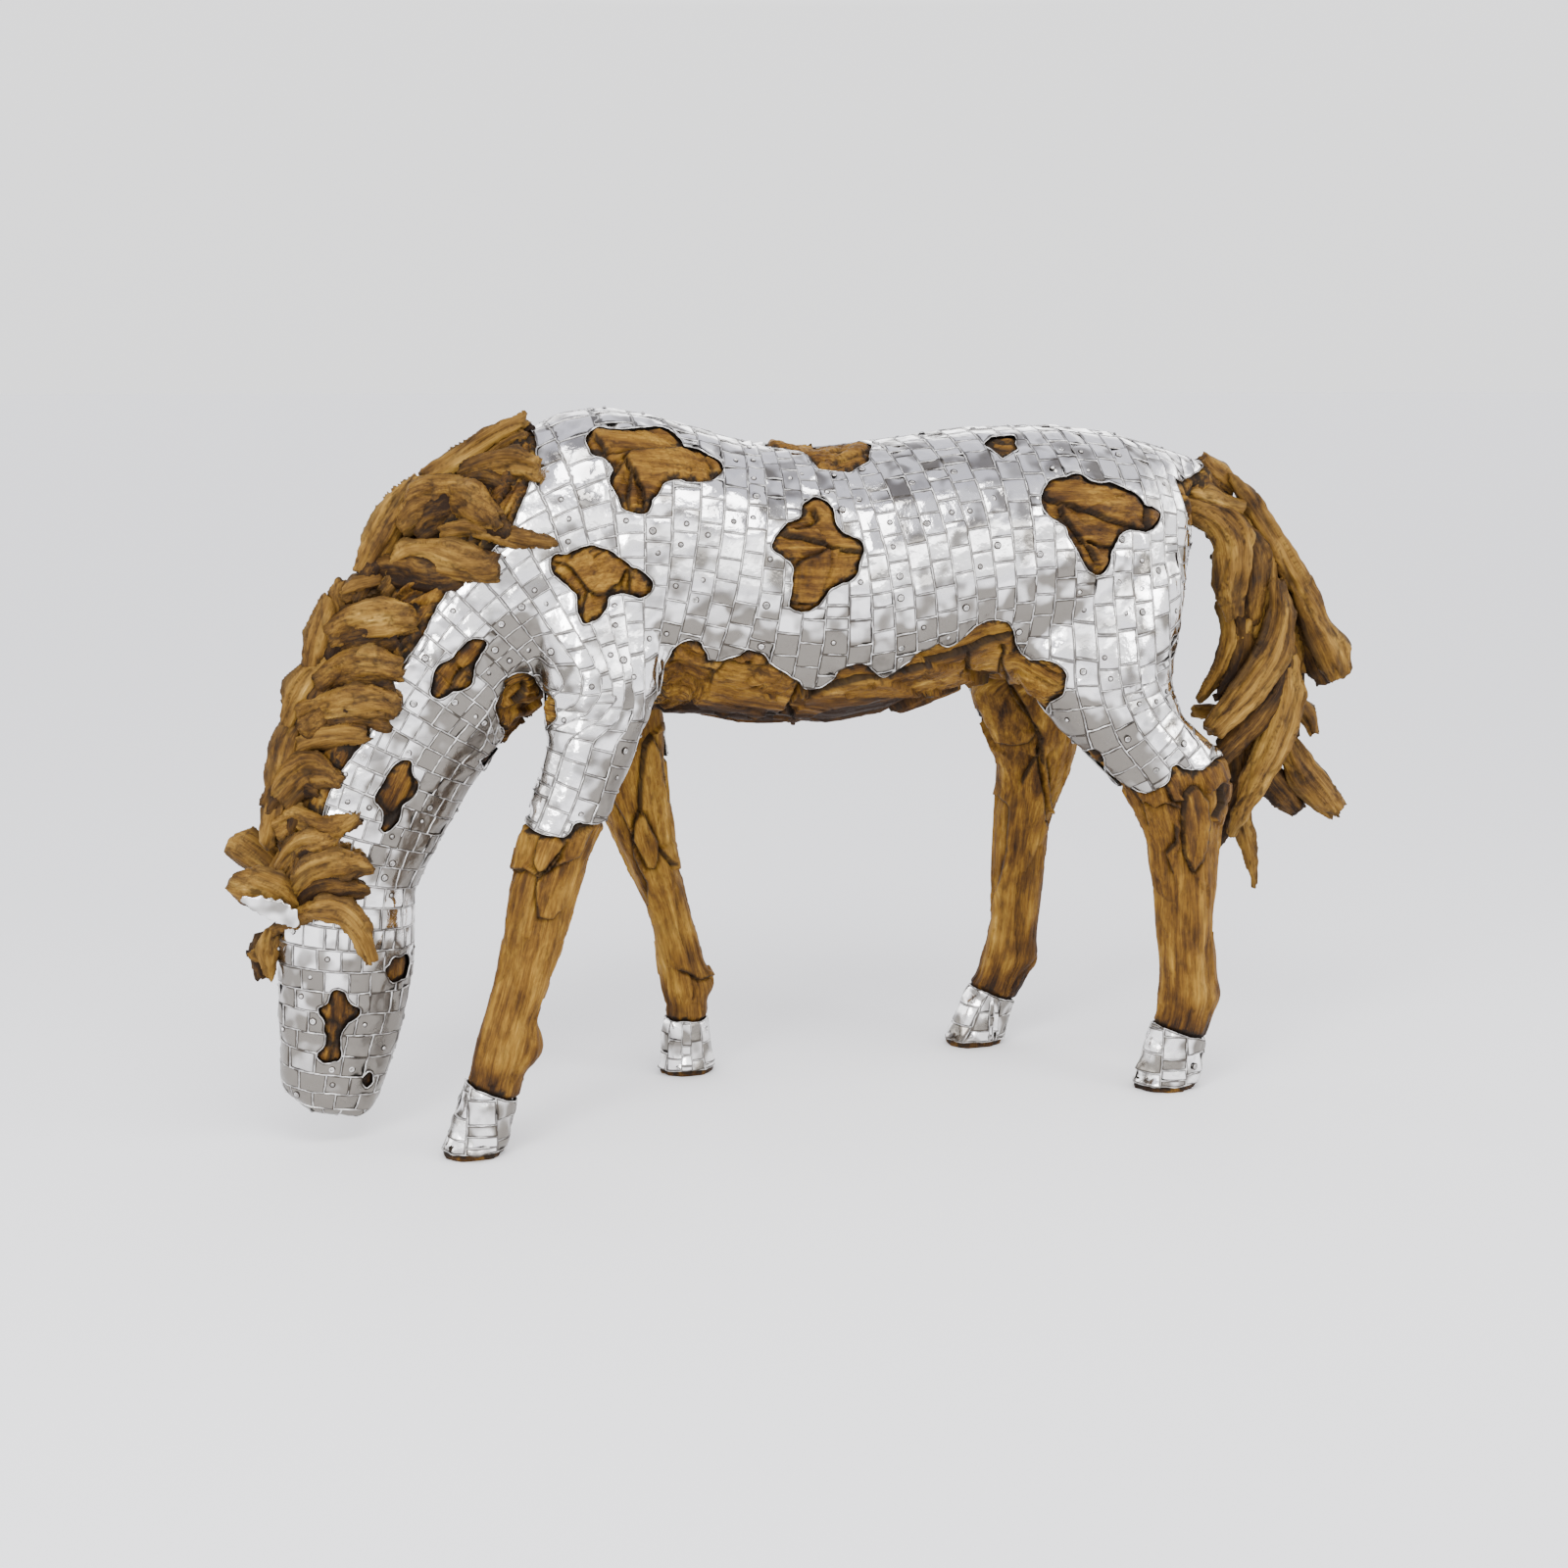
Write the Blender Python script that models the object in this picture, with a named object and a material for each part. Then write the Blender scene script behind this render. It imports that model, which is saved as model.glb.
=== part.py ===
"""A life-size grazing horse: a figure of glued teak root in a coat of welded steel plates.

Metres, +Z up, the horse faces -X and its left side is -Y. It stands on z = 0 with the middle of its
outline at the origin. The pose was drawn at a withers height of 1.5 m and is kept as shares of it.
"""

import math

import bmesh
import bpy
from mathutils import Vector
from mathutils.bvhtree import BVHTree

WITHERS_HEIGHT = 1.50
DRAWN_HEIGHT = 1.50
SHARE = WITHERS_HEIGHT / DRAWN_HEIGHT

PLATE_THICKNESS = 0.003
FIT_GAP = 0.0003
SEAT_GAP = 0.0005
HOOF_GAP = 0.001
SOLE_THICKNESS = 0.015
CORE_RISE = 0.012
CORE_TAPER = 0.010

# The figure's skin: the grid it is fused on, its smoothing, and what the lofts are grown by to allow for it.
SKIN_VOXEL = 0.014 * SHARE
SKIN_SMOOTHING = 4
SKIN_ALLOWANCE = 0.005 * SHARE
FIGURE_TRIANGLES = 1080
RING_POINTS = 20
HOOF_POINTS = 8
# Slats' thicknesses as shares of their widths.
MANE_THICKNESS = 0.42
TAIL_THICKNESS = 0.70
EAR_THICKNESS = 0.50
EAR_PLATE_THICKNESS = 0.22
# How far a slat's sections turn with its bends: less keeps them from crossing each other.
BEND = 0.4
# A slat's section in shares of its half width and half thickness.
SLAT = ((1.0, 0.1), (0.35, 1.0), (-0.7, 0.8), (-1.0, -0.3), (0.1, -1.0))

# How far the coat of a leg reaches past the leg's middle, and how far cutters stand off the skin.
COAT_REACH = 0.035 * SHARE
CUTTER_REACH = 0.05 * SHARE
BEYOND = 0.7 * SHARE
CAST_START = 2.1 * SHARE
# The row of a leg's table at its elbow or stifle, whose middle is where the coat is split between the legs.
ELBOW_ROW = 3

# The most a sharp corner moves in gaps, wider gaps tried in turn where a cut fails, and the least share of a
# piece a cut may leave.
SHARPEST = 2.0
GAP_STEPS = (1.0, 1.2, 1.5, 1.9, 2.5)
LEAST_KEPT = 0.15

LEFT, RIGHT, DOWN = Vector((0, -1, 0)), Vector((0, 1, 0)), Vector((0, 0, -1))

# Body sections, each as the upper (or front) point, the lower (or rear) point and the half width:
# x, z, x, z, half width, drawn at DRAWN_HEIGHT.
TRUNK = (
    (0.815, 1.35, 0.80, 1.12, 0.085),
    (0.755, 1.425, 0.74, 1.00, 0.175),
    (0.64, 1.455, 0.62, 0.95, 0.235),
    (0.49, 1.471, 0.48, 0.93, 0.262),
    (0.30, 1.466, 0.30, 0.935, 0.268),
    (0.118, 1.442, 0.11, 0.868, 0.278),
    (-0.036, 1.427, -0.03, 0.848, 0.282),
    (-0.187, 1.439, -0.19, 0.862, 0.272),
    (-0.314, 1.474, -0.34, 0.890, 0.250),
    (-0.40, 1.500, -0.44, 0.900, 0.232),
    (-0.495, 1.513, -0.54, 0.925, 0.212),
    (-0.60, 1.480, -0.60, 0.960, 0.180),
    (-0.67, 1.380, -0.65, 1.02, 0.130),
)
NECK = (
    (-0.47, 1.505, -0.44, 0.95, 0.195),
    (-0.571, 1.505, -0.52, 0.945, 0.190),
    (-0.642, 1.470, -0.600, 0.955, 0.178),
    (-0.790, 1.365, -0.665, 0.905, 0.158),
    (-0.905, 1.215, -0.730, 0.822, 0.138),
    (-1.000, 1.070, -0.785, 0.755, 0.122),
    (-1.072, 0.920, -0.835, 0.668, 0.110),
    (-1.118, 0.775, -0.880, 0.595, 0.102),
    (-1.140, 0.640, -0.915, 0.530, 0.096),
    (-1.120, 0.560, -0.950, 0.470, 0.080),
)
HEAD = (
    (-1.08, 0.700, -0.93, 0.640, 0.070),
    (-1.135, 0.630, -0.915, 0.545, 0.090),
    (-1.168, 0.540, -0.914, 0.480, 0.101),
    (-1.183, 0.450, -0.917, 0.410, 0.104),
    (-1.187, 0.350, -0.930, 0.315, 0.096),
    (-1.188, 0.260, -0.950, 0.230, 0.082),
    (-1.190, 0.185, -0.980, 0.145, 0.073),
    (-1.190, 0.120, -1.005, 0.080, 0.070),
    (-1.165, 0.078, -1.025, 0.046, 0.054),
)
DOCK = (
    (0.70, 1.43, 0.70, 1.28, 0.090),
    (0.79, 1.412, 0.775, 1.295, 0.064),
    (0.845, 1.398, 0.832, 1.320, 0.048),
    (0.888, 1.380, 0.87, 1.325, 0.036),
)
# Leg sections add the y of their middle.
LEGS = {
    "front_left": (
        (-0.640, 1.24, -0.41, 1.27, 0.070, -0.115),
        (-0.650, 1.08, -0.39, 1.11, 0.082, -0.145),
        (-0.635, 0.93, -0.415, 0.98, 0.084, -0.168),
        (-0.640, 0.86, -0.455, 0.88, 0.078, -0.174),
        (-0.655, 0.793, -0.486, 0.804, 0.070, -0.180),
        (-0.690, 0.700, -0.541, 0.695, 0.062, -0.185),
        (-0.707, 0.633, -0.570, 0.628, 0.059, -0.185),
        (-0.724, 0.573, -0.592, 0.566, 0.056, -0.185),
        (-0.740, 0.471, -0.624, 0.463, 0.048, -0.185),
        (-0.762, 0.369, -0.657, 0.360, 0.043, -0.185),
        (-0.786, 0.287, -0.687, 0.279, 0.041, -0.185),
        (-0.798, 0.242, -0.684, 0.220, 0.047, -0.185),
        (-0.812, 0.195, -0.710, 0.175, 0.042, -0.185),
        (-0.826, 0.150, -0.732, 0.120, 0.044, -0.185),
        (-0.835, 0.100, -0.750, 0.070, 0.040, -0.185),
    ),
    "front_right": (
        (-0.600, 1.24, -0.37, 1.26, 0.070, 0.115),
        (-0.580, 1.05, -0.36, 1.07, 0.084, 0.150),
        (-0.530, 0.92, -0.345, 0.93, 0.080, 0.180),
        (-0.500, 0.823, -0.335, 0.827, 0.072, 0.190),
        (-0.482, 0.700, -0.323, 0.690, 0.064, 0.200),
        (-0.452, 0.600, -0.315, 0.595, 0.060, 0.205),
        (-0.420, 0.528, -0.307, 0.516, 0.056, 0.205),
        (-0.386, 0.446, -0.284, 0.425, 0.048, 0.205),
        (-0.352, 0.352, -0.260, 0.336, 0.043, 0.205),
        (-0.337, 0.281, -0.244, 0.274, 0.041, 0.205),
        (-0.338, 0.225, -0.226, 0.214, 0.047, 0.205),
        (-0.322, 0.175, -0.231, 0.175, 0.041, 0.205),
        (-0.318, 0.132, -0.242, 0.128, 0.040, 0.205),
        (-0.318, 0.085, -0.240, 0.085, 0.038, 0.205),
    ),
    "hind_right": (
        (0.460, 1.30, 0.745, 1.29, 0.080, 0.110),
        (0.415, 1.14, 0.765, 1.13, 0.100, 0.142),
        (0.385, 0.97, 0.715, 0.94, 0.100, 0.168),
        (0.405, 0.875, 0.680, 0.86, 0.092, 0.180),
        (0.442, 0.790, 0.668, 0.77, 0.080, 0.192),
        (0.484, 0.706, 0.662, 0.700, 0.069, 0.205),
        (0.494, 0.635, 0.650, 0.640, 0.061, 0.215),
        (0.490, 0.570, 0.625, 0.570, 0.054, 0.220),
        (0.488, 0.516, 0.610, 0.509, 0.049, 0.220),
        (0.485, 0.396, 0.598, 0.389, 0.045, 0.220),
        (0.480, 0.288, 0.588, 0.280, 0.043, 0.220),
        (0.470, 0.222, 0.586, 0.205, 0.048, 0.220),
        (0.450, 0.172, 0.560, 0.145, 0.043, 0.220),
        (0.430, 0.135, 0.530, 0.100, 0.042, 0.220),
        (0.415, 0.100, 0.510, 0.070, 0.038, 0.220),
    ),
    "hind_left": (
        (0.460, 1.32, 0.745, 1.31, 0.080, -0.100),
        (0.420, 1.16, 0.765, 1.16, 0.104, -0.138),
        (0.372, 1.01, 0.730, 1.00, 0.106, -0.164),
        (0.400, 0.93, 0.718, 0.92, 0.103, -0.174),
        (0.460, 0.85, 0.745, 0.850, 0.094, -0.182),
        (0.530, 0.785, 0.805, 0.800, 0.083, -0.186),
        (0.588, 0.730, 0.855, 0.752, 0.073, -0.190),
        (0.640, 0.670, 0.864, 0.685, 0.066, -0.190),
        (0.680, 0.592, 0.848, 0.600, 0.058, -0.190),
        (0.707, 0.479, 0.842, 0.475, 0.050, -0.190),
        (0.725, 0.365, 0.842, 0.356, 0.046, -0.190),
        (0.738, 0.249, 0.847, 0.241, 0.045, -0.190),
        (0.735, 0.190, 0.858, 0.175, 0.049, -0.190),
        (0.722, 0.141, 0.832, 0.118, 0.045, -0.190),
        (0.705, 0.100, 0.800, 0.070, 0.040, -0.190),
    ),
}

# The steel coat as seen square from the side: x, z. The body's outline goes right through, the legs' stop
# short of their inner faces.
COAT_BODY = (
    (-1.30, -0.05), (-0.94, -0.05), (-0.94, 0.20), (-0.88, 0.35), (-0.85, 0.53), (-0.80, 0.655),
    (-0.735, 0.770), (-0.715, 0.805), (-0.745, 0.842), (-0.728, 0.870), (-0.746, 0.926), (-0.728, 0.968),
    (-0.689, 0.998), (-0.655, 0.985), (-0.630, 0.965), (-0.600, 0.985), (-0.416, 1.002), (-0.409, 1.029),
    (-0.381, 1.059), (-0.338, 1.061), (-0.315, 1.018), (-0.245, 1.042), (-0.197, 1.009), (-0.108, 0.946),
    (-0.056, 0.964), (-0.035, 1.003), (-0.008, 1.006), (0.049, 0.972), (0.103, 1.011), (0.172, 1.042),
    (0.194, 1.030), (0.270, 1.089), (0.312, 1.085), (0.344, 1.053), (0.420, 1.030), (0.950, 1.030),
    (0.950, 1.20), (0.820, 1.22), (0.755, 1.30), (0.738, 1.368), (0.775, 1.358), (0.815, 1.362),
    (0.865, 1.385), (0.885, 1.60), (-0.638, 1.60), (-0.638, 1.454), (-0.648, 1.400), (-0.709, 1.274),
    (-0.835, 1.158), (-0.896, 1.051), (-0.946, 0.992), (-1.008, 0.854), (-1.058, 0.794), (-1.090, 0.713),
    (-1.125, 0.570), (-1.156, 0.507), (-1.183, 0.440), (-1.30, 0.440),
)
COAT_LEGS = {
    "front_left": (
        (-0.560, 1.080), (-0.632, 0.966), (-0.760, 0.930), (-0.760, 0.700), (-0.694, 0.694), (-0.671, 0.681),
        (-0.628, 0.674), (-0.603, 0.704), (-0.576, 0.699), (-0.549, 0.690), (-0.500, 0.705), (-0.390, 0.720),
        (-0.390, 0.940), (-0.420, 1.080),
    ),
    "front_right": (
        (-0.560, 1.080), (-0.660, 0.960), (-0.660, 0.830), (-0.540, 0.775), (-0.500, 0.740), (-0.455, 0.755),
        (-0.415, 0.728), (-0.365, 0.745), (-0.260, 0.750), (-0.260, 0.930), (-0.420, 1.080),
    ),
    "hind_right": (
        (0.365, 1.080), (0.345, 1.020), (0.380, 0.960), (0.350, 0.860), (0.430, 0.805), (0.485, 0.780),
        (0.535, 0.798), (0.585, 0.755), (0.640, 0.778), (0.760, 0.780), (0.900, 0.950), (0.900, 1.080),
    ),
    "hind_left": (
        (0.365, 1.080), (0.345, 1.050), (0.360, 1.020), (0.390, 0.995), (0.434, 0.990), (0.452, 0.961),
        (0.446, 0.921), (0.430, 0.895), (0.380, 0.860), (0.420, 0.720), (0.560, 0.708), (0.619, 0.700),
        (0.652, 0.693), (0.688, 0.722), (0.702, 0.758), (0.728, 0.740), (0.801, 0.752), (0.940, 0.770),
        (0.940, 1.080),
    ),
}
# Openings of the coat that show the wood: the side ones as x, z from the left, the top ones as x, y.
SPOTS_SIDE = {
    "shoulder": (
        (-0.431, 1.175), (-0.456, 1.148), (-0.521, 1.156), (-0.542, 1.114), (-0.577, 1.097),
        (-0.596, 1.170), (-0.632, 1.215), (-0.551, 1.255),
    ),
    "barrel": (
        (-0.165, 1.115), (-0.155, 1.207), (-0.201, 1.250), (-0.135, 1.290), (-0.105, 1.343),
        (-0.065, 1.327), (-0.050, 1.276), (-0.006, 1.239), (-0.040, 1.177), (-0.106, 1.123),
    ),
    "hip": (
        (0.684, 1.294), (0.644, 1.255), (0.567, 1.253), (0.522, 1.169), (0.488, 1.176), (0.438, 1.273),
        (0.389, 1.315), (0.440, 1.376), (0.560, 1.364),
    ),
    "neck_upper": (
        (-0.757, 1.064), (-0.799, 0.971), (-0.860, 0.947), (-0.877, 0.955), (-0.858, 1.014),
        (-0.827, 1.026), (-0.802, 1.063),
    ),
    "neck_middle": (
        (-0.971, 0.667), (-0.977, 0.730), (-0.987, 0.775), (-0.923, 0.829), (-0.899, 0.766), (-0.911, 0.725),
    ),
    "jaw": ((-0.923, 0.340), (-0.968, 0.344), (-0.982, 0.383), (-0.971, 0.402), (-0.932, 0.401)),
    "cheek": (
        (-1.101, 0.182), (-1.127, 0.207), (-1.102, 0.260), (-1.119, 0.311), (-1.083, 0.351),
        (-1.035, 0.303), (-1.070, 0.261), (-1.074, 0.200),
    ),
    "muzzle": ((-1.019, 0.117), (-1.038, 0.130), (-1.035, 0.150), (-1.021, 0.158), (-1.008, 0.134)),
}
SPOTS_TOP = {
    "withers": (
        (-0.270, -0.161), (-0.294, -0.183), (-0.405, -0.186), (-0.439, -0.204), (-0.489, -0.190),
        (-0.505, -0.150), (-0.546, -0.115), (-0.512, -0.084), (-0.385, -0.061), (-0.349, -0.117),
    ),
    "back": (
        (0.083, -0.045), (0.045, -0.129), (-0.005, -0.159), (-0.070, -0.150),
        (-0.085, -0.079), (-0.158, -0.050), (-0.140, 0.020), (0.060, 0.030),
    ),
    "croup": (
        (0.386, -0.089), (0.371, -0.149), (0.325, -0.174), (0.300, -0.125), (0.326, -0.094),
    ),
}
# The far side repeats some of the side openings, moved along x by the given amount.
FAR_SPOTS = {"barrel": 0.12, "hip": -0.03}

# Hooves: the coronet's front point, rear point and half width, then the sole's front x, rear x, half width.
HOOVES = {
    "front_left": (-0.838, 0.158, -0.728, 0.112, 0.053, -0.892, -0.752, 0.058),
    "front_right": (-0.334, 0.132, -0.226, 0.128, 0.050, -0.346, -0.208, 0.056),
    "hind_right": (0.420, 0.148, 0.540, 0.098, 0.052, 0.361, 0.514, 0.058),
    "hind_left": (0.706, 0.152, 0.842, 0.104, 0.054, 0.664, 0.826, 0.060),
}
HOOF_Y = {"front_left": -0.185, "front_right": 0.205, "hind_right": 0.220, "hind_left": -0.190}

# Slats of wood as middle points along their length. Each table starts with the slats that lie outermost; the
# later ones are cut where they would overlap. A mane lock has its lift off the neck's left side, then its
# x, z and half width; beyond the crest's outline it lies CREST_DEPTH left of the middle.
CREST_DEPTH = 0.012
MANE = {
    "mane_lock_01": (0.03, (
        (-1.16, 0.50, 0.017), (-1.11, 0.53, 0.029), (-1.06, 0.52, 0.030), (-1.03, 0.48, 0.026),
        (-1.01, 0.41, 0.015))),
    "mane_lock_02": (0.03, (
        (-1.16, 0.54, 0.015), (-1.12, 0.60, 0.035), (-1.06, 0.62, 0.036), (-1.00, 0.61, 0.015))),
    "mane_lock_03": (0.022, (
        (-1.18, 0.57, 0.020), (-1.14, 0.63, 0.040), (-1.10, 0.66, 0.038), (-1.07, 0.66, 0.018))),
    "mane_lock_04": (0.016, (
        (-1.18, 0.67, 0.025), (-1.14, 0.70, 0.035), (-1.09, 0.68, 0.030), (-1.02, 0.71, 0.013))),
    "mane_lock_05": (0.018, (
        (-1.17, 0.74, 0.030), (-1.12, 0.79, 0.048), (-1.09, 0.80, 0.040), (-1.06, 0.79, 0.017))),
    "mane_lock_06": (0.018, (
        (-1.13, 0.85, 0.018), (-1.08, 0.87, 0.026), (-1.00, 0.88, 0.015))),
    "mane_lock_07": (0.02, (
        (-1.13, 0.91, 0.025), (-1.08, 0.92, 0.039), (-1.01, 0.95, 0.036), (-0.94, 0.94, 0.025))),
    "mane_lock_08": (0.022, (
        (-1.09, 0.97, 0.020), (-1.04, 1.00, 0.036), (-0.98, 1.02, 0.038), (-0.93, 1.01, 0.024))),
    "mane_lock_09": (0.018, (
        (-1.06, 1.06, 0.030), (-1.02, 1.08, 0.052), (-0.95, 1.10, 0.051), (-0.90, 1.11, 0.029))),
    "mane_lock_10": (0.03, (
        (-0.95, 1.15, 0.023), (-0.90, 1.22, 0.047), (-0.81, 1.22, 0.041), (-0.74, 1.21, 0.027))),
    "mane_lock_11": (0.018, (
        (-1.03, 1.14, 0.020), (-1.00, 1.16, 0.033), (-0.95, 1.17, 0.028))),
    "mane_lock_12": (0.034, (
        (-0.91, 1.28, 0.020), (-0.88, 1.32, 0.052), (-0.81, 1.34, 0.054), (-0.77, 1.33, 0.045),
        (-0.73, 1.30, 0.021))),
    "mane_lock_13": (0.016, (
        (-0.84, 1.27, 0.020), (-0.77, 1.29, 0.024), (-0.71, 1.27, 0.021), (-0.63, 1.26, 0.011))),
    "mane_lock_14": (0.022, (
        (-0.78, 1.38, 0.025), (-0.73, 1.40, 0.038), (-0.68, 1.41, 0.039), (-0.65, 1.40, 0.024))),
    "mane_lock_15": (0.004, (
        (-0.75, 1.39, 0.020), (-0.70, 1.43, 0.030), (-0.65, 1.46, 0.020))),
    "mane_lock_16": (0.006, (
        (-0.86, 1.38, 0.020), (-0.79, 1.42, 0.026), (-0.72, 1.46, 0.024), (-0.65, 1.50, 0.013))),
    "mane_lock_17": (0.014, (
        (-0.99, 1.19, 0.022), (-0.95, 1.27, 0.040), (-0.91, 1.33, 0.036), (-0.87, 1.38, 0.015))),
    "mane_lock_18": (0.008, (
        (-0.96, 1.18, 0.020), (-0.92, 1.23, 0.035), (-0.89, 1.27, 0.025))),
    "mane_lock_19": (0.004, (
        (-1.20, 0.47, 0.020), (-1.21, 0.42, 0.030), (-1.21, 0.36, 0.009))),
    "mane_lock_20": (0.002, (
        (-1.20, 0.43, 0.015), (-1.23, 0.41, 0.017), (-1.25, 0.41, 0.008))),
    "mane_lock_21": (0.004, (
        (-1.03, 1.11, 0.020), (-1.04, 1.15, 0.022), (-1.03, 1.18, 0.012))),
    "mane_lock_22": (0.006, (
        (-1.10, 1.00, 0.020), (-1.08, 1.07, 0.035), (-1.05, 1.14, 0.022))),
    "mane_lock_23": (0.006, (
        (-1.15, 0.89, 0.020), (-1.12, 0.96, 0.035), (-1.07, 1.03, 0.022))),
    "mane_lock_24": (0.006, (
        (-1.18, 0.75, 0.018), (-1.16, 0.84, 0.032), (-1.13, 0.91, 0.022))),
    "mane_lock_25": (0.006, (
        (-1.20, 0.64, 0.017), (-1.18, 0.71, 0.032), (-1.16, 0.78, 0.022))),
}
# These mane locks come again on the far side.
FAR_MANE = ("mane_lock_03", "mane_lock_05", "mane_lock_07", "mane_lock_10", "mane_lock_12")
# Ears and the steel on the left one: x, y, z, half width.
EARS = {
    "ear_left": (
        (-1.15, -0.065, 0.51, 0.024), (-1.20, -0.080, 0.56, 0.050),
        (-1.24, -0.090, 0.58, 0.046), (-1.28, -0.095, 0.59, 0.020)),
    "ear_right": (
        (-1.16, 0.045, 0.52, 0.024), (-1.20, 0.065, 0.59, 0.046),
        (-1.25, 0.075, 0.63, 0.042), (-1.28, 0.080, 0.63, 0.020)),
}
EAR_PLATE = (
    (-1.15, -0.100, 0.49, 0.011), (-1.19, -0.108, 0.52, 0.020),
    (-1.23, -0.116, 0.545, 0.018), (-1.26, -0.120, 0.56, 0.007))
# A tail strand has its y, then its x, z and half width.
TAIL = {
    "tail_strand_01": (-0.035, (
        (0.77, 1.37, 0.015), (0.83, 1.34, 0.032), (0.89, 1.31, 0.030), (0.96, 1.29, 0.017))),
    "tail_strand_02": (-0.045, (
        (0.79, 1.31, 0.025), (0.90, 1.27, 0.044), (0.94, 1.22, 0.054), (0.93, 1.14, 0.052),
        (0.95, 1.05, 0.021))),
    "tail_strand_03": (-0.050, (
        (1.05, 1.13, 0.021), (1.07, 1.06, 0.038), (1.05, 0.96, 0.048), (0.99, 0.88, 0.047),
        (0.90, 0.79, 0.031))),
    "tail_strand_04": (-0.030, (
        (1.09, 0.96, 0.026), (1.10, 0.87, 0.053), (1.07, 0.75, 0.051), (1.02, 0.65, 0.036),
        (0.97, 0.54, 0.011))),
    "tail_strand_05": (-0.020, (
        (0.94, 1.36, 0.012), (1.00, 1.29, 0.028), (1.06, 1.20, 0.032), (1.13, 1.11, 0.033),
        (1.17, 1.02, 0.037), (1.22, 0.95, 0.048), (1.24, 0.90, 0.034))),
    "tail_strand_06": (-0.010, (
        (0.98, 1.29, 0.022), (1.02, 1.20, 0.040), (1.03, 1.10, 0.051), (1.00, 0.99, 0.030))),
    "tail_strand_07": (0.000, (
        (0.87, 1.39, 0.025), (0.91, 1.37, 0.032), (0.96, 1.33, 0.021))),
    "tail_strand_08": (0.000, (
        (0.94, 1.08, 0.021), (0.97, 1.00, 0.030), (0.94, 0.91, 0.026), (0.89, 0.85, 0.009))),
    "tail_strand_09": (0.008, (
        (1.00, 0.66, 0.023), (1.01, 0.58, 0.029), (1.04, 0.50, 0.023), (1.06, 0.40, 0.007))),
    "tail_strand_10": (-0.010, (
        (1.10, 0.77, 0.026), (1.16, 0.67, 0.045), (1.21, 0.62, 0.046), (1.26, 0.57, 0.028))),
    "tail_strand_11": (-0.005, (
        (1.10, 0.87, 0.020), (1.17, 0.81, 0.026), (1.19, 0.76, 0.010))),
    "tail_strand_12": (0.020, (
        (0.99, 0.79, 0.023), (1.00, 0.71, 0.028), (1.00, 0.58, 0.013))),
    "tail_strand_13": (0.030, (
        (0.89, 0.82, 0.013), (0.98, 0.81, 0.023), (1.07, 0.83, 0.018))),
    "tail_strand_14": (0.015, (
        (1.10, 1.07, 0.016), (1.13, 0.97, 0.023), (1.16, 0.90, 0.010))),
    "tail_strand_15": (0.050, (
        (0.95, 1.29, 0.027), (1.04, 1.17, 0.044), (1.10, 1.00, 0.047), (1.09, 0.84, 0.042),
        (1.07, 0.72, 0.024))),
    "tail_strand_16": (0.025, (
        (0.94, 1.26, 0.027), (0.98, 1.17, 0.038), (1.00, 1.04, 0.041), (1.00, 0.92, 0.023))),
    "tail_strand_17": (0.045, (
        (1.05, 1.27, 0.021), (1.11, 1.15, 0.034), (1.14, 1.00, 0.031), (1.14, 0.88, 0.025))),
}


def clear_scene():
    for obj in list(bpy.data.objects):
        bpy.data.objects.remove(obj)


def finish(name, colour, roughness, metallic):
    material = bpy.data.materials.new(name)
    material.use_nodes = True
    shader = material.node_tree.nodes["Principled BSDF"]
    shader.inputs["Base Color"].default_value = (*colour, 1.0)
    shader.inputs["Roughness"].default_value = roughness
    shader.inputs["Metallic"].default_value = metallic
    return material


def place(bm, name, material=None):
    """Turns a bmesh into a named object of the scene."""
    mesh = bpy.data.meshes.new(name)
    bm.to_mesh(mesh)
    bm.free()
    obj = bpy.data.objects.new(name, mesh)
    bpy.context.scene.collection.objects.link(obj)
    if material:
        mesh.materials.append(material)
    return obj


def apply_modifiers(obj):
    """Keeps the evaluated mesh and drops the modifiers."""
    graph = bpy.context.evaluated_depsgraph_get()
    mesh = bpy.data.meshes.new_from_object(obj.evaluated_get(graph))
    obj.modifiers.clear()
    old = obj.data
    obj.data = mesh
    bpy.data.meshes.remove(old)
    return obj


def combine(obj, other, operation):
    """Cuts with, keeps within or adds the other solid, and takes it out of the scene."""
    step = obj.modifiers.new(operation.lower(), "BOOLEAN")
    step.operation = operation
    step.object = other
    step.solver = "EXACT"
    apply_modifiers(obj)
    bpy.data.objects.remove(other)
    return obj


def ring(upper_x, upper_z, lower_x, lower_z, half_width, y=0.0, points=RING_POINTS, grow=0.0):
    """An oval section through two points of the side view, pushed out by grow."""
    upper = Vector((upper_x, 0, upper_z)) * SHARE
    lower = Vector((lower_x, 0, lower_z)) * SHARE
    middle = (upper + lower) / 2 + Vector((0, y * SHARE, 0))
    half = (upper - lower) / 2
    half *= 1 + grow / half.length
    width = Vector((0, half_width * SHARE + grow, 0))
    turns = [2 * math.pi * k / points for k in range(points)]
    return [middle + half * math.cos(t) + width * math.sin(t) for t in turns]


def loft(rings):
    """A closed skin over sections of equal point count."""
    bm = bmesh.new()
    loops = [[bm.verts.new(point) for point in section] for section in rings]
    count = len(loops[0])
    for low, high in zip(loops, loops[1:]):
        for i in range(count):
            j = (i + 1) % count
            bm.faces.new((low[i], low[j], high[j], high[i]))
    bm.faces.new(loops[0][::-1])
    bm.faces.new(loops[-1])
    bmesh.ops.recalc_face_normals(bm, faces=bm.faces)
    if bm.calc_volume(signed=True) < 0:
        bmesh.ops.reverse_faces(bm, faces=bm.faces)
    bmesh.ops.triangulate(bm, faces=bm.faces)
    return bm


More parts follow.
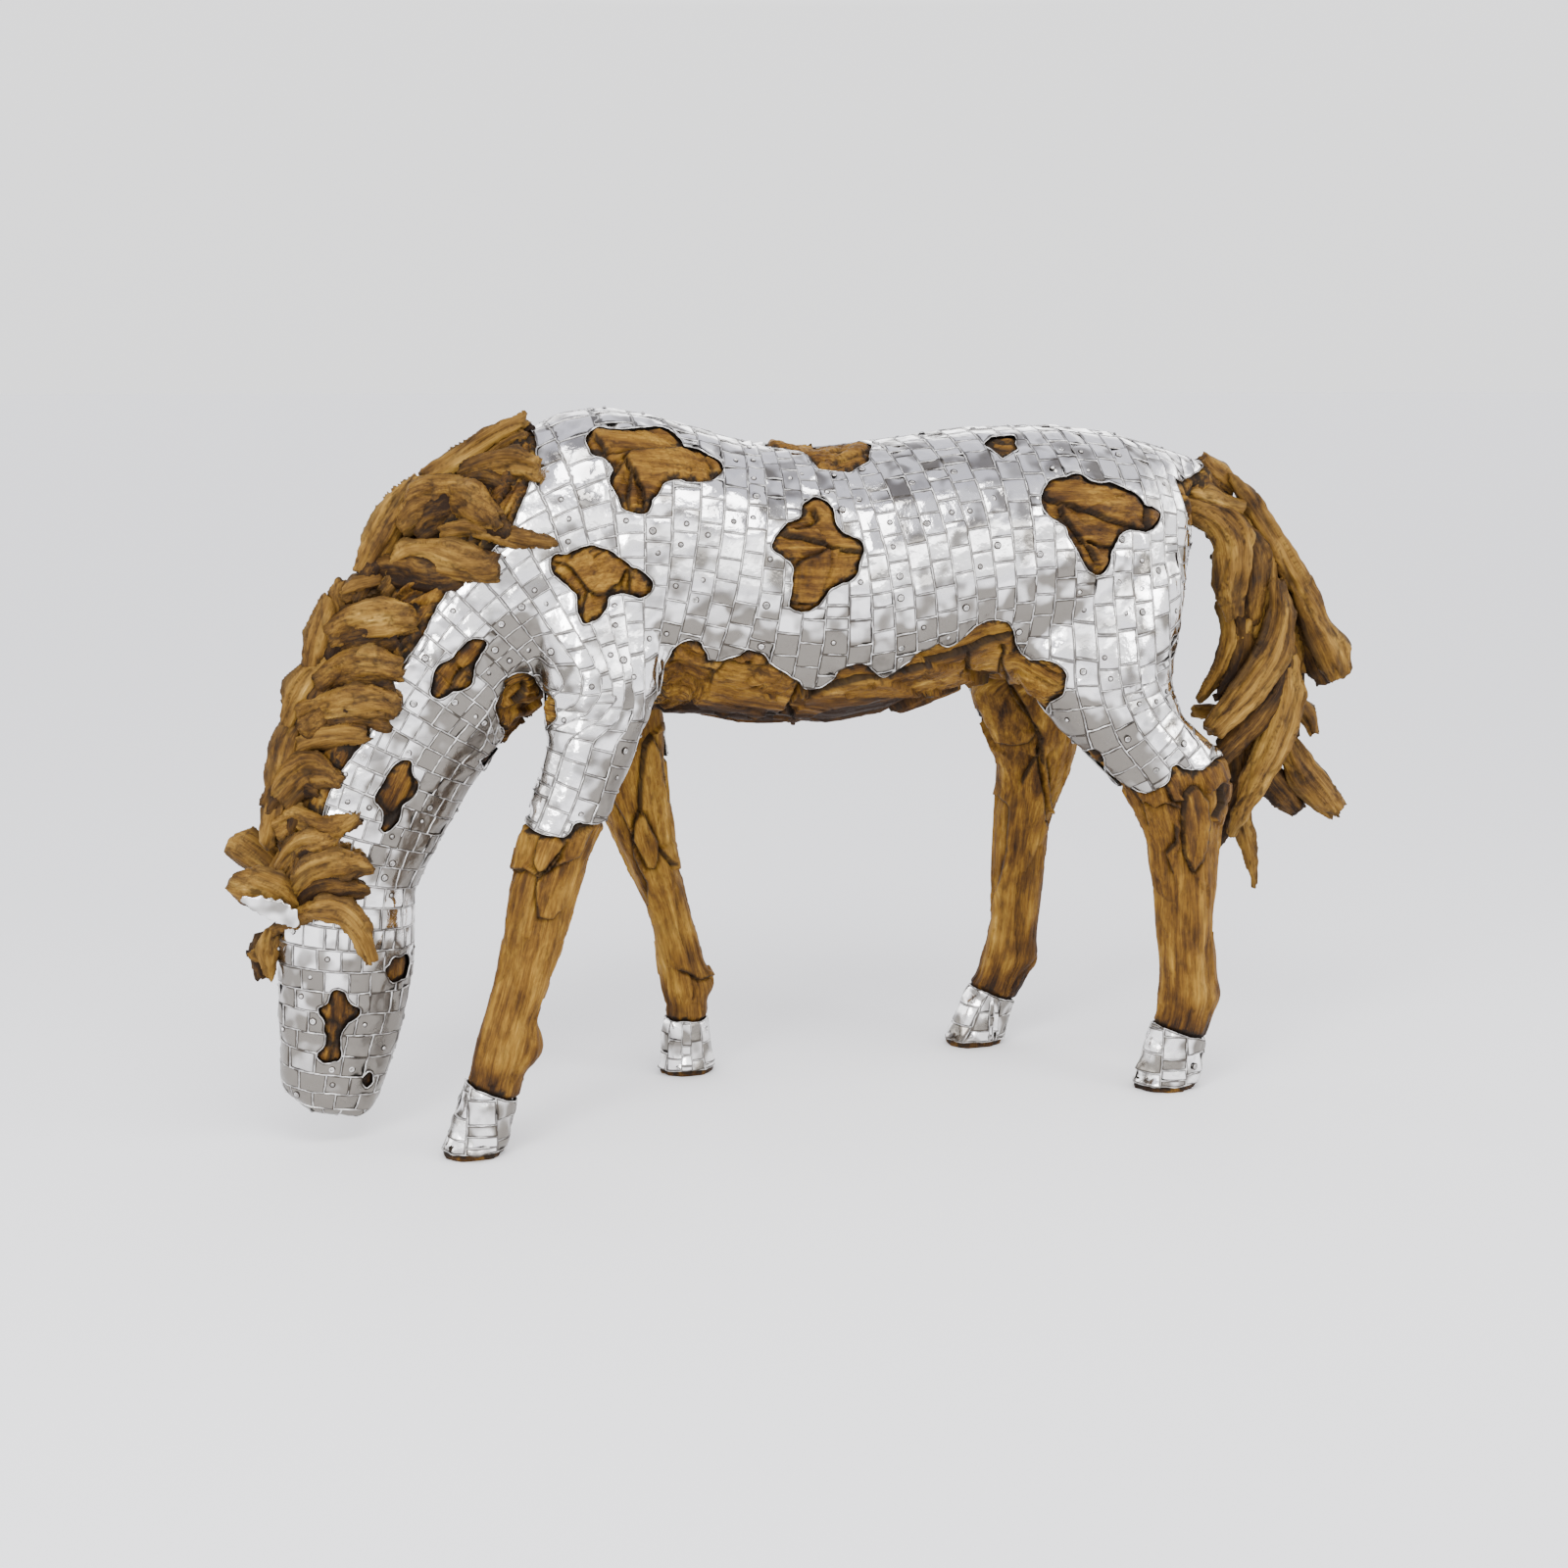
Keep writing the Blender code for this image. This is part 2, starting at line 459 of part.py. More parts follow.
def grown(mesh, distance):
    """A solid like the mesh with its skin moved out by the distance."""
    bm = bmesh.new()
    bm.from_mesh(mesh)
    bm.normal_update()
    moved = [v.co + v.normal * distance * min(v.calc_shell_factor(), SHARPEST) for v in bm.verts]
    for vert, point in zip(bm.verts, moved):
        vert.co = point
    return place(bm, "grown")


def largest_island(obj):
    """Drops the crumbs a cut can leave."""
    bm = bmesh.new()
    bm.from_mesh(obj.data)
    bm.faces.ensure_lookup_table()
    left = set(bm.faces)
    islands = []
    while left:
        front = [left.pop()]
        island = set(front)
        while front:
            for edge in front.pop().edges:
                for face in edge.link_faces:
                    if face in left:
                        left.discard(face)
                        island.add(face)
                        front.append(face)
        islands.append(island)
    islands.sort(key=lambda faces: -sum(face.calc_area() for face in faces))
    for island in islands[1:]:
        bmesh.ops.delete(bm, geom=list(island), context="FACES")
    loose = [v for v in bm.verts if not v.link_faces]
    bmesh.ops.delete(bm, geom=loose, context="VERTS")
    bm.to_mesh(obj.data)
    bm.free()


def carve_figure(material):
    """Fuses the lofts of trunk, neck, head, dock and legs, and keeps a light faceted skin."""
    bm = bmesh.new()
    for table in (TRUNK, NECK, HEAD, DOCK, *LEGS.values()):
        section = loft([ring(*row, grow=SKIN_ALLOWANCE) for row in table])
        mesh = bpy.data.meshes.new("section")
        section.to_mesh(mesh)
        section.free()
        bm.from_mesh(mesh)
        bpy.data.meshes.remove(mesh)
    figure = place(bm, "wood_figure", material)
    fuse = figure.modifiers.new("fuse", "REMESH")
    fuse.mode = "VOXEL"
    fuse.voxel_size = SKIN_VOXEL
    soften = figure.modifiers.new("soften", "SMOOTH")
    soften.iterations = SKIN_SMOOTHING
    apply_modifiers(figure)
    lighten = figure.modifiers.new("lighten", "DECIMATE")
    lighten.ratio = FIGURE_TRIANGLES / (2 * len(figure.data.polygons))
    figure.modifiers.new("split", "TRIANGULATE")
    return apply_modifiers(figure)


def shell_of(figure, material):
    """A plate-thick skin that stands off the figure by the fit gap all over."""
    bm = bmesh.new()
    bm.from_mesh(figure.data)
    bm.normal_update()
    bm.verts.ensure_lookup_table()
    faces = [[v.index for v in face.verts] for face in bm.faces]
    spread = [(v.co.copy(), v.normal * min(v.calc_shell_factor(), SHARPEST)) for v in bm.verts]
    bm.free()
    shell = bmesh.new()
    inner = [shell.verts.new(point + way * FIT_GAP) for point, way in spread]
    outer = [shell.verts.new(point + way * (FIT_GAP + PLATE_THICKNESS)) for point, way in spread]
    for face in faces:
        shell.faces.new([outer[i] for i in face])
        shell.faces.new([inner[i] for i in reversed(face)])
    return place(shell, "steel_coat", material)


def prism(outline, low_y, high_y):
    """A side-view outline as a solid between two y."""
    ends = [[Vector((x * SHARE, y, z * SHARE)) for x, z in outline] for y in (low_y, high_y)]
    return place(loft(ends), "prism")


def coat_region():
    region = prism(COAT_BODY, -BEYOND, BEYOND)
    for leg, outline in COAT_LEGS.items():
        middle = LEGS[leg][ELBOW_ROW][-1]
        side = math.copysign(1, middle)
        inner = middle * SHARE - side * COAT_REACH
        combine(region, prism(outline, *sorted((inner, side * BEYOND))), "UNION")
    return region


def skin_tree(figure):
    bm = bmesh.new()
    bm.from_mesh(figure.data)
    tree = BVHTree.FromBMesh(bm)
    bm.free()
    return tree


def spot_cutter(skin, outline, way, swap, shift=0.0):
    """A plug through the skin along the way, over an outline drawn in the plane across it."""
    hits = []
    for x, other in outline:
        point = Vector((x + shift, 0, 0)) * SHARE
        point[swap] += other * SHARE
        hits.append(skin.ray_cast(point - way * CAST_START, way)[0] or skin.find_nearest(point)[0])
    reach = way * CUTTER_REACH
    return place(loft([[hit - reach for hit in hits], [hit + reach for hit in hits]]), "spot")


def weld_coat(figure, skin, material):
    """The steel coat: the shell within the coat's outline, less the openings."""
    coat = combine(shell_of(figure, material), coat_region(), "INTERSECT")
    cutters = [spot_cutter(skin, outline, RIGHT, 2) for outline in SPOTS_SIDE.values()]
    cutters += [spot_cutter(skin, SPOTS_SIDE[spot], LEFT, 2, shift) for spot, shift in FAR_SPOTS.items()]
    cutters += [spot_cutter(skin, outline, DOWN, 1) for outline in SPOTS_TOP.values()]
    for cutter in cutters:
        combine(coat, cutter, "DIFFERENCE")
    largest_island(coat)
    return coat


def hoof_rings(hoof, grow, top_lift, bottom):
    """The hoof's outline from above its coronet down to the given height."""
    front_x, front_z, rear_x, rear_z, half_width, toe_x, heel_x, sole_width = HOOVES[hoof]
    y = HOOF_Y[hoof]
    share = bottom / front_z
    low_front = toe_x + (front_x - toe_x) * share
    low_rear = heel_x + (rear_x - heel_x) * share
    low_width = sole_width + (half_width - sole_width) * share
    return [
        ring(front_x, front_z + top_lift, rear_x, rear_z + top_lift, half_width, y, HOOF_POINTS, grow),
        ring(low_front, bottom, low_rear, bottom, low_width, y, HOOF_POINTS, grow),
    ]


def shoe_hooves(figure, material):
    """Adds the wooden hooves to the legs and closes a steel cap round each of them."""
    caps = []
    for hoof in HOOVES:
        wall = PLATE_THICKNESS + HOOF_GAP
        toe_x, heel_x, sole_width = HOOVES[hoof][5:]
        core = hoof_rings(hoof, -wall - CORE_TAPER, CORE_RISE, SOLE_THICKNESS)[:1]
        core += hoof_rings(hoof, -wall, 0.0, SOLE_THICKNESS)
        core += [
            ring(toe_x, z, heel_x, z, sole_width, HOOF_Y[hoof], HOOF_POINTS) for z in (SOLE_THICKNESS, 0.0)
        ]
        combine(figure, place(loft(core), "core"), "UNION")
    for hoof in HOOVES:
        solid = loft(hoof_rings(hoof, 0.0, 0.0, SOLE_THICKNESS))
        cap = combine(place(solid, "hoof_cap_" + hoof, material), grown(figure.data, HOOF_GAP), "DIFFERENCE")
        largest_island(cap)
        caps.append(cap)
    return caps


def strip(name, rows, thickness, facing, material):
    """A five-sided slat of wood along its middle points, flat towards the facing side."""
    points = [Vector(row[:3]) * SHARE for row in rows]
    chord = (points[-1] - points[0]).normalized()
    rings = []
    for i, row in enumerate(rows):
        local = (points[min(i + 1, len(points) - 1)] - points[max(i - 1, 0)]).normalized()
        along = chord.lerp(local, BEND).normalized()
        across = along.cross(facing).normalized()
        out = across.cross(along)
        half = row[3] * SHARE
        rings.append([
            points[i] + across * half * wide + out * half * thickness * thick
            for wide, thick in SLAT
        ])
    return place(loft(rings), name, material)


def laid_on(skin, lift, rows, side):
    """A lock's rows with the y at which it lies on the neck's given side."""
    laid = []
    for x, z, half in rows:
        hit = skin.ray_cast(Vector((x, 0, z)) * SHARE + side * BEYOND, -side)[0]
        y = hit.y / SHARE if hit else side.y * CREST_DEPTH
        laid.append((x, y + side.y * lift, z, half))
    return laid


def sound(piece, before):
    """True for a closed skin that keeps most of what it was."""
    sizes = []
    for mesh in (piece.data, before):
        bm = bmesh.new()
        bm.from_mesh(mesh)
        closed = len(bm.faces) > 0 and all(len(edge.link_faces) == 2 for edge in bm.edges)
        sizes.append(bm.calc_volume(signed=True) if closed else 0.0)
        bm.free()
    return sizes[0] > LEAST_KEPT * sizes[1]


def boxes_meet(a, b):
    low_a, high_a, low_b, high_b = (
        [pick(v.co[k] for v in mesh.vertices) for k in range(3)] for mesh in (a, b) for pick in (min, max)
    )
    return all(low_a[k] < high_b[k] and low_b[k] < high_a[k] for k in range(3))


def seat(piece, solids):
    """Cuts a piece clear of the solids by the seat gap, a little wider where a cut fails."""
    for solid in solids:
        if not boxes_meet(piece.data, solid):
            continue
        before = piece.data.copy()
        for gap in GAP_STEPS:
            combine(piece, grown(solid, SEAT_GAP * gap), "DIFFERENCE")
            largest_island(piece)
            if sound(piece, before):
                break
            piece.data = before.copy()
    return piece


clear_scene()
steel = finish("stainless_steel", (0.80, 0.80, 0.83), 0.28, 1.0)
teak = finish("teak_root", (0.42, 0.22, 0.07), 0.55, 0.0)
driftwood = finish("teak_driftwood", (0.36, 0.22, 0.09), 0.65, 0.0)

figure = carve_figure(teak)
skin = skin_tree(figure)
coat = weld_coat(figure, skin, steel)
caps = shoe_hooves(figure, steel)
placed = [figure, coat, *caps]

slats = [strip("ear_plate_left", EAR_PLATE, EAR_PLATE_THICKNESS, LEFT, steel)]
slats += [strip(name, rows, EAR_THICKNESS, LEFT, driftwood) for name, rows in EARS.items()]
for name, (lift, rows) in MANE.items():
    slats.append(strip(name, laid_on(skin, lift, rows, LEFT), MANE_THICKNESS, LEFT, driftwood))
for name in FAR_MANE:
    lift, rows = MANE[name]
    slats.append(strip(name + "_far", laid_on(skin, lift, rows, RIGHT), MANE_THICKNESS, RIGHT, driftwood))
for name, (y, rows) in TAIL.items():
    strand = [(x, y, z, half) for x, z, half in rows]
    slats.append(strip(name, strand, TAIL_THICKNESS, LEFT, driftwood))
# Each slat is cut by the whole shapes of the ones before it, which are simpler than what is left of them.
solids = [obj.data for obj in placed]
for slat in slats:
    whole = slat.data.copy()
    placed.append(seat(slat, solids))
    solids.append(whole)

corners = [Vector(c) for obj in placed for c in obj.bound_box]
middle = [(min(c[k] for c in corners) + max(c[k] for c in corners)) / 2 for k in (0, 1)]
for obj in placed:
    obj.location = (-middle[0], -middle[1], 0.0)
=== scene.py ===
"""A life-size grazing horse: root wood under a coat of small welded stainless plates, with slats of
driftwood for its mane, ears and tail. Metres, +Z up; the horse faces -X and its left side is at -Y."""

import math

import bmesh
import bpy
import numpy as np
from mathutils import Euler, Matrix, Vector, noise
from mathutils.bvhtree import BVHTree
from mathutils.kdtree import KDTree


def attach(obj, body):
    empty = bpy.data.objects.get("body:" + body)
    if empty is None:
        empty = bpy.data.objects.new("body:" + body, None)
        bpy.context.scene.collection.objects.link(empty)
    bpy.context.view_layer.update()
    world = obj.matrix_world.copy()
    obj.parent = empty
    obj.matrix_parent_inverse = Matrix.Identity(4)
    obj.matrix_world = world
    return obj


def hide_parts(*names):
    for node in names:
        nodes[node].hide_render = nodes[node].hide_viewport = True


# Blender's vector noise starts from the clock unless it is seeded.
NOISE_SEED = 7
noise.seed_set(NOISE_SEED)

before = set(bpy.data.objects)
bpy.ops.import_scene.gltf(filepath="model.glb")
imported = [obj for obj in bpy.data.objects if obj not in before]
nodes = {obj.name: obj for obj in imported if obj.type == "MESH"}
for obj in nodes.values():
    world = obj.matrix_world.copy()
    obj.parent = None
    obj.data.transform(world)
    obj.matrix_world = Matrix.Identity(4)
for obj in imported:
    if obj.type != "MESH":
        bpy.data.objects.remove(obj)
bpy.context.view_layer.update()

# The figure of root wood.
# The body, neck, head and legs are slabs and boards of teak root, carved to one form. The skin worked out
# here is that form made smooth, and it also carries the steel coat.
SKIN_GRID = 0.0135
SKIN_SMOOTHING = 5
SKIN_REGAIN = 0.0015


def fused(node, grid, smoothing, regain):
    """A copy of a node's solid on an even grid, smoothed, and grown by what the smoothing takes off."""
    bm = bmesh.new()
    bm.from_mesh(nodes[node].data)
    bmesh.ops.remove_doubles(bm, verts=bm.verts, dist=1e-5)
    mesh = bpy.data.meshes.new(node + "_fused")
    bm.to_mesh(mesh)
    bm.free()
    obj = bpy.data.objects.new(node + "_fused", mesh)
    bpy.context.scene.collection.objects.link(obj)
    remesh = obj.modifiers.new("fuse", "REMESH")
    remesh.mode = "VOXEL"
    remesh.voxel_size = grid
    smooth = obj.modifiers.new("smooth", "SMOOTH")
    smooth.iterations = smoothing
    grow = obj.modifiers.new("grow", "DISPLACE")
    grow.strength = regain
    grow.mid_level = 0.0
    bpy.context.view_layer.update()
    made = bpy.data.meshes.new_from_object(obj.evaluated_get(bpy.context.evaluated_depsgraph_get()))
    bpy.data.objects.remove(obj)
    return made


def corners_of(mesh):
    """A mesh's points and normals as arrays."""
    points = np.empty(len(mesh.vertices) * 3)
    normals = np.empty(len(mesh.vertices) * 3)
    mesh.vertices.foreach_get("co", points)
    mesh.vertex_normals.foreach_get("vector", normals)
    return points.reshape(-1, 3), normals.reshape(-1, 3)


skin = fused("wood_figure", SKIN_GRID, SKIN_SMOOTHING, SKIN_REGAIN)

# The line along the middle of the body from the croup to the muzzle: x, z and the mean radius round it.
SPINE = (
    (0.60, 1.20, 0.25), (0.30, 1.19, 0.27), (0.11, 1.16, 0.28), (-0.03, 1.14, 0.285),
    (-0.19, 1.15, 0.28), (-0.33, 1.18, 0.275), (-0.45, 1.20, 0.27), (-0.56, 1.19, 0.26),
    (-0.67, 1.14, 0.24), (-0.75, 1.07, 0.215), (-0.83, 0.98, 0.19), (-0.89, 0.90, 0.175),
    (-0.95, 0.79, 0.16), (-0.995, 0.68, 0.145), (-1.025, 0.58, 0.13), (-1.04, 0.50, 0.12),
    (-1.05, 0.42, 0.115), (-1.055, 0.33, 0.105), (-1.065, 0.25, 0.09), (-1.08, 0.17, 0.08))
# Each leg: its side of the body, the y of its middle, then z and the x of its middle from the top down.
LEGS = {
    "front_left": (-1, -0.17, ((1.10, -0.53), (0.95, -0.53), (0.80, -0.57), (0.63, -0.64), (0.37, -0.71),
                               (0.20, -0.76), (0.08, -0.79))),
    "front_right": (1, 0.18, ((1.10, -0.47), (0.92, -0.44), (0.70, -0.40), (0.52, -0.36), (0.35, -0.31),
                              (0.20, -0.28), (0.08, -0.28))),
    "hind_right": (1, 0.18, ((1.14, 0.58), (0.96, 0.55), (0.78, 0.56), (0.64, 0.575), (0.39, 0.545),
                             (0.21, 0.53), (0.08, 0.47))),
    "hind_left": (-1, -0.18, ((1.16, 0.59), (1.00, 0.56), (0.85, 0.61), (0.74, 0.72), (0.60, 0.77),
                              (0.36, 0.785), (0.19, 0.80), (0.08, 0.76))),
}
SPINE_STEP = 0.01
SPINE_WINDOW = 15
LEG_WINDOW = 9
LEG_TOP = 1.02
LEG_BLEND = 0.16
LEG_DEPTH = 0.20
LEG_WIDTH = 0.16
BELOW_BODY = 0.70


def eased(t):
    """0 below 0, 1 above 1, and smooth between."""
    t = np.clip(t, 0, 1)
    return t * t * (3 - 2 * t)


spine_points = np.array(SPINE)
spine_runs = np.concatenate([[0], np.cumsum(np.linalg.norm(np.diff(spine_points[:, :2], axis=0), axis=1))])
spine_s = np.arange(0, spine_runs[-1], SPINE_STEP)
spine_xz = np.stack([np.interp(spine_s, spine_runs, spine_points[:, k]) for k in (0, 1)], axis=1)
half_window = SPINE_WINDOW // 2
for k in (0, 1):
    level = np.convolve(spine_xz[:, k], np.ones(SPINE_WINDOW) / SPINE_WINDOW, mode="valid")
    spine_xz[half_window:-half_window, k] = level
spine_along = np.gradient(spine_xz, axis=0)
spine_along /= np.linalg.norm(spine_along, axis=1)[:, None]
spine_up = np.stack([spine_along[:, 1], -spine_along[:, 0]], axis=1)


def lie_of(points):
    """Where points lie on the body: along the spine, and round it as two terms, so that at a ring of radius
    r the way round is r * turn + drop. Then the wood's space, whose first axis follows the grain, and how
    far each point belongs to a leg."""
    xz = points[:, [0, 2]]
    y = points[:, 1]
    nearest = np.argmin(((xz[:, None] - spine_xz[None]) ** 2).sum(axis=2), axis=1)
    away = xz - spine_xz[nearest]
    step = (away * spine_along[nearest]).sum(axis=1)
    rise = (away * spine_up[nearest]).sum(axis=1)
    reach = np.hypot(rise, y)
    last = len(spine_s) - 1
    beyond = np.where(nearest == 0, np.minimum(step, 0), np.where(nearest == last, np.maximum(step, 0), 0))
    over = np.arctan2(np.abs(beyond), reach) * np.hypot(beyond, reach)
    step = np.clip(step, -SPINE_STEP, SPINE_STEP)
    along = spine_s[nearest] + np.where(beyond != 0, np.sign(beyond) * over, step)
    turn = np.arctan2(y, rise)
    drop = np.zeros(len(points))
    grain = np.stack([along, rise, y], axis=1)
    on_leg = np.zeros(len(points))
    heights = np.arange(LEG_TOP + 0.2, 0.0, -SPINE_STEP)
    half = LEG_WINDOW // 2
    for side, leg_y, line in LEGS.values():
        z, x = np.array(line[::-1]).T
        middle = np.interp(points[:, 2], z, x)
        off = np.hypot((points[:, 0] - middle) / LEG_DEPTH, (y - leg_y) / LEG_WIDTH)
        share = eased((LEG_TOP - points[:, 2]) / LEG_BLEND) * eased((1.15 - off) / 0.3)
        share = np.where((points[:, 2] < BELOW_BODY) & (off < 1.3), 1.0, share)
        top = np.interp(LEG_TOP, z, x)
        top_s = np.interp(-top, -spine_xz[:, 0], spine_s)
        top_z = np.interp(-top, -spine_xz[:, 0], spine_xz[:, 1])
        axis = np.stack([np.interp(heights, z, x), heights], axis=1)
        for _ in range(2):
            axis[half:-half, 0] = np.convolve(axis[:, 0], np.ones(LEG_WINDOW) / LEG_WINDOW, mode="valid")
        run = np.concatenate([[0], np.cumsum(np.linalg.norm(np.diff(axis, axis=0), axis=1))])
        run -= np.interp(-LEG_TOP, -heights, run)
        down = np.gradient(axis, axis=0)
        down /= np.linalg.norm(down, axis=1)[:, None]
        close = np.argmin(((xz[:, None] - axis[None]) ** 2).sum(axis=2), axis=1)
        away = xz - axis[close]
        run_down = run[close] + (away * down[close]).sum(axis=1)
        across = away[:, 0] * -down[close][:, 1] + away[:, 1] * down[close][:, 0]
        along += share * (top_s - across - along)
        turn += share * (side * math.pi / 2 - turn)
        drop += share * (side * (top_z - LEG_TOP + run_down) - drop)
        wood = np.stack([-run_down, across, y - leg_y], axis=1)
        grain += share[:, None] * (wood - grain)
        on_leg = np.maximum(on_leg, share)
    return along, turn, drop, grain, on_leg


# The near side's outlines of the coat are drawn as the camera sees them: right and down in a frame of 1600
# by 1600. The openings come first, then the wood of the throat, the belly and the two legs on that side.
CAMERA_PLACE = Vector((-1.2862, -4.2294, 1.57))
CAMERA_AZIMUTH = math.radians(-15.7)
CAMERA_PITCH = math.radians(11.1)
FRAME_SIZE = 1600
LENS_PIXELS = 2089
OPENINGS = {
    "withers": (
        (598, 447), (604, 439), (610, 436), (634, 439), (659, 436), (673, 435), (683, 439), (688, 443),
        (695, 451), (696, 456), (701, 457), (713, 459), (723, 465), (734, 471), (740, 480), (734, 487),
        (724, 493), (712, 494), (701, 493), (691, 491), (684, 492), (678, 494), (673, 501), (671, 506),
        (666, 511), (665, 518), (662, 525), (657, 527), (647, 526), (639, 523), (634, 519), (632, 513),
        (627, 504), (622, 494), (622, 487), (625, 481), (622, 474), (616, 468), (609, 467), (603, 464),
        (599, 456)),
    "shoulder": (
        (561, 575), (562, 569), (566, 566), (567, 563), (573, 566), (579, 566), (584, 563), (594, 558),
        (601, 556), (606, 555), (613, 558), (622, 560), (627, 565), (634, 571), (642, 575), (645, 580),
        (651, 579), (659, 584), (665, 591), (668, 596), (666, 602), (659, 609), (651, 610), (643, 607),
        (634, 605), (624, 607), (621, 610), (621, 618), (617, 626), (611, 633), (601, 637), (595, 638),
        (592, 632), (589, 624), (589, 613), (588, 607), (581, 600), (573, 594), (566, 588), (562, 582)),
    "barrel": (
        (824, 512), (830, 506), (835, 508), (840, 510), (844, 512), (849, 518), (851, 522), (853, 532),
        (856, 538), (859, 542), (867, 547), (873, 550), (880, 554), (882, 560), (880, 567), (878, 573),
        (876, 583), (872, 590), (863, 595), (853, 599), (846, 602), (843, 608), (837, 616), (828, 622),
        (818, 625), (810, 623), (803, 619), (806, 611), (808, 603), (808, 593), (810, 583), (811, 580),
        (805, 575), (797, 568), (790, 563), (787, 557), (790, 548), (795, 542), (802, 534), (810, 531),
        (816, 530), (818, 522), (818, 516)),
    "hip": (
        (1085, 486), (1088, 487), (1093, 484), (1101, 484), (1107, 487), (1113, 491), (1122, 493),
        (1130, 492), (1132, 491), (1136, 494), (1145, 497), (1153, 500), (1160, 505), (1167, 512),
        (1169, 517), (1175, 517), (1181, 519), (1185, 525), (1184, 530), (1178, 538), (1173, 542),
        (1165, 544), (1157, 542), (1151, 541), (1145, 544), (1141, 548), (1138, 555), (1135, 562),
        (1134, 568), (1132, 577), (1127, 585), (1121, 588), (1114, 586), (1108, 580), (1105, 574),
        (1101, 568), (1098, 562), (1092, 552), (1088, 545), (1087, 538), (1080, 534), (1072, 529),
        (1065, 522), (1061, 514), (1061, 507), (1063, 501), (1067, 495), (1073, 490)),
    "neck_upper": (
        (476, 653), (483, 652), (492, 652), (498, 655), (496, 662), (491, 668), (488, 675), (484, 680),
        (485, 688), (481, 698), (475, 704), (468, 706), (462, 706), (455, 712), (448, 714), (440, 712),
        (438, 707), (440, 697), (441, 690), (444, 682), (450, 676), (458, 674), (463, 671), (466, 663),
        (471, 658)),
    "neck_middle": (
        (402, 779), (411, 774), (421, 776), (420, 785), (422, 792), (428, 798), (426, 808), (420, 816),
        (411, 821), (409, 832), (405, 841), (395, 849), (390, 849), (387, 845), (390, 838), (389, 828),
        (386, 822), (381, 818), (382, 810), (388, 802), (391, 799), (396, 788)),
    "cheek": (
        (345, 1008), (349, 1010), (353, 1012), (354, 1018), (358, 1024), (363, 1026), (368, 1028),
        (368, 1035), (363, 1040), (358, 1042), (353, 1047), (350, 1052), (348, 1058), (347, 1065),
        (348, 1072), (349, 1078), (345, 1083), (340, 1082), (337, 1085), (332, 1086), (328, 1083),
        (323, 1078), (325, 1072), (330, 1070), (332, 1065), (333, 1058), (332, 1054), (330, 1050),
        (332, 1043), (328, 1037), (325, 1032), (324, 1028), (328, 1026), (333, 1025), (336, 1020),
        (337, 1013), (341, 1010)),
    "jaw": (
        (402, 974), (408, 975), (413, 972), (416, 975), (417, 983), (415, 992), (414, 998), (408, 1000),
        (403, 1003), (399, 1004), (396, 1000), (394, 995), (392, 991), (392, 988), (397, 985), (397, 980)),
    "muzzle": (
        (376, 1091), (380, 1094), (381, 1098), (380, 1105), (373, 1111), (368, 1108), (368, 1103),
        (371, 1099), (373, 1095)),
    "throat": (
        (513, 693), (522, 688), (530, 684), (538, 685), (544, 688), (548, 697), (553, 704), (562, 707),
        (568, 713), (570, 733), (513, 790), (493, 784), (488, 775), (497, 769), (503, 762), (509, 756),
        (513, 748), (513, 743), (508, 737), (508, 729), (504, 723), (505, 717), (510, 707), (514, 702)),
    "belly": (
        (670, 729), (672, 705), (675, 687), (678, 675), (688, 659), (698, 652), (704, 651), (708, 653),
        (716, 653), (717, 659), (722, 667), (723, 673), (734, 673), (746, 670), (757, 667), (763, 659),
        (767, 662), (778, 664), (782, 668), (784, 676), (795, 682), (807, 690), (816, 694), (819, 700),
        (823, 702), (837, 700), (852, 691), (857, 681), (864, 678), (875, 675), (882, 676), (892, 684),
        (901, 690), (907, 687), (916, 681), (926, 675), (935, 665), (946, 661), (958, 654), (961, 658),
        (969, 659), (979, 653), (988, 644), (996, 637), (1008, 631), (1017, 631), (1028, 634), (1035, 643),
        (1037, 655), (1040, 664), (1051, 673), (1064, 672), (1076, 675), (1084, 679), (1088, 690),
        (1087, 699), (1079, 711), (1073, 712), (1069, 725), (1066, 737), (1076, 746), (1034, 790),
        (988, 741), (822, 750), (670, 747)),
    "thigh": (
        (1068, 728), (1066, 735), (1075, 744), (1088, 755), (1100, 764), (1109, 765), (1116, 762),
        (1122, 765), (1127, 772), (1129, 781), (1135, 789), (1148, 798), (1158, 805), (1170, 809),
        (1182, 804), (1190, 798), (1194, 791), (1194, 782), (1200, 778), (1204, 782), (1208, 784),
        (1216, 786), (1228, 784), (1235, 778), (1245, 770), (1249, 762), (1262, 760), (1262, 865),
        (1150, 865), (1095, 785), (1055, 765)),
    "forearm": (
        (551, 790), (548, 802), (544, 818), (540, 830), (538, 840), (545, 846), (552, 850), (558, 852),
        (568, 853), (576, 854), (582, 848), (586, 839), (591, 837), (598, 840), (608, 840), (615, 836),
        (625, 835), (625, 920), (512, 920), (520, 840), (532, 805), (545, 790)),
}
EDGES = ("throat", "belly", "thigh", "forearm")
NEAR_SIDE = 0.03
FAR_LEG_BOTTOM = 0.25
FAR_LEG_TOP = 0.98
CLOSED_ROUND = (12, 24)
COAT_SIGHT = 0.03
OUTLINE_REACH = 0.12
OUTLINE_ROUNDING = 1
WAVER = ((30, 0.0030), (80, 0.0016))
FINE_REACH = 0.014

STRAIGHT_WAYS = ((0, 1), (1, 0), (0, -1), (-1, 0))
SLANTED_WAYS = ((0.7, 0.7), (-0.7, -0.7), (0.7, -0.7), (-0.7, 0.7))
OUTLINE_HALVINGS = 6
OUTLINE_PARTS = 6

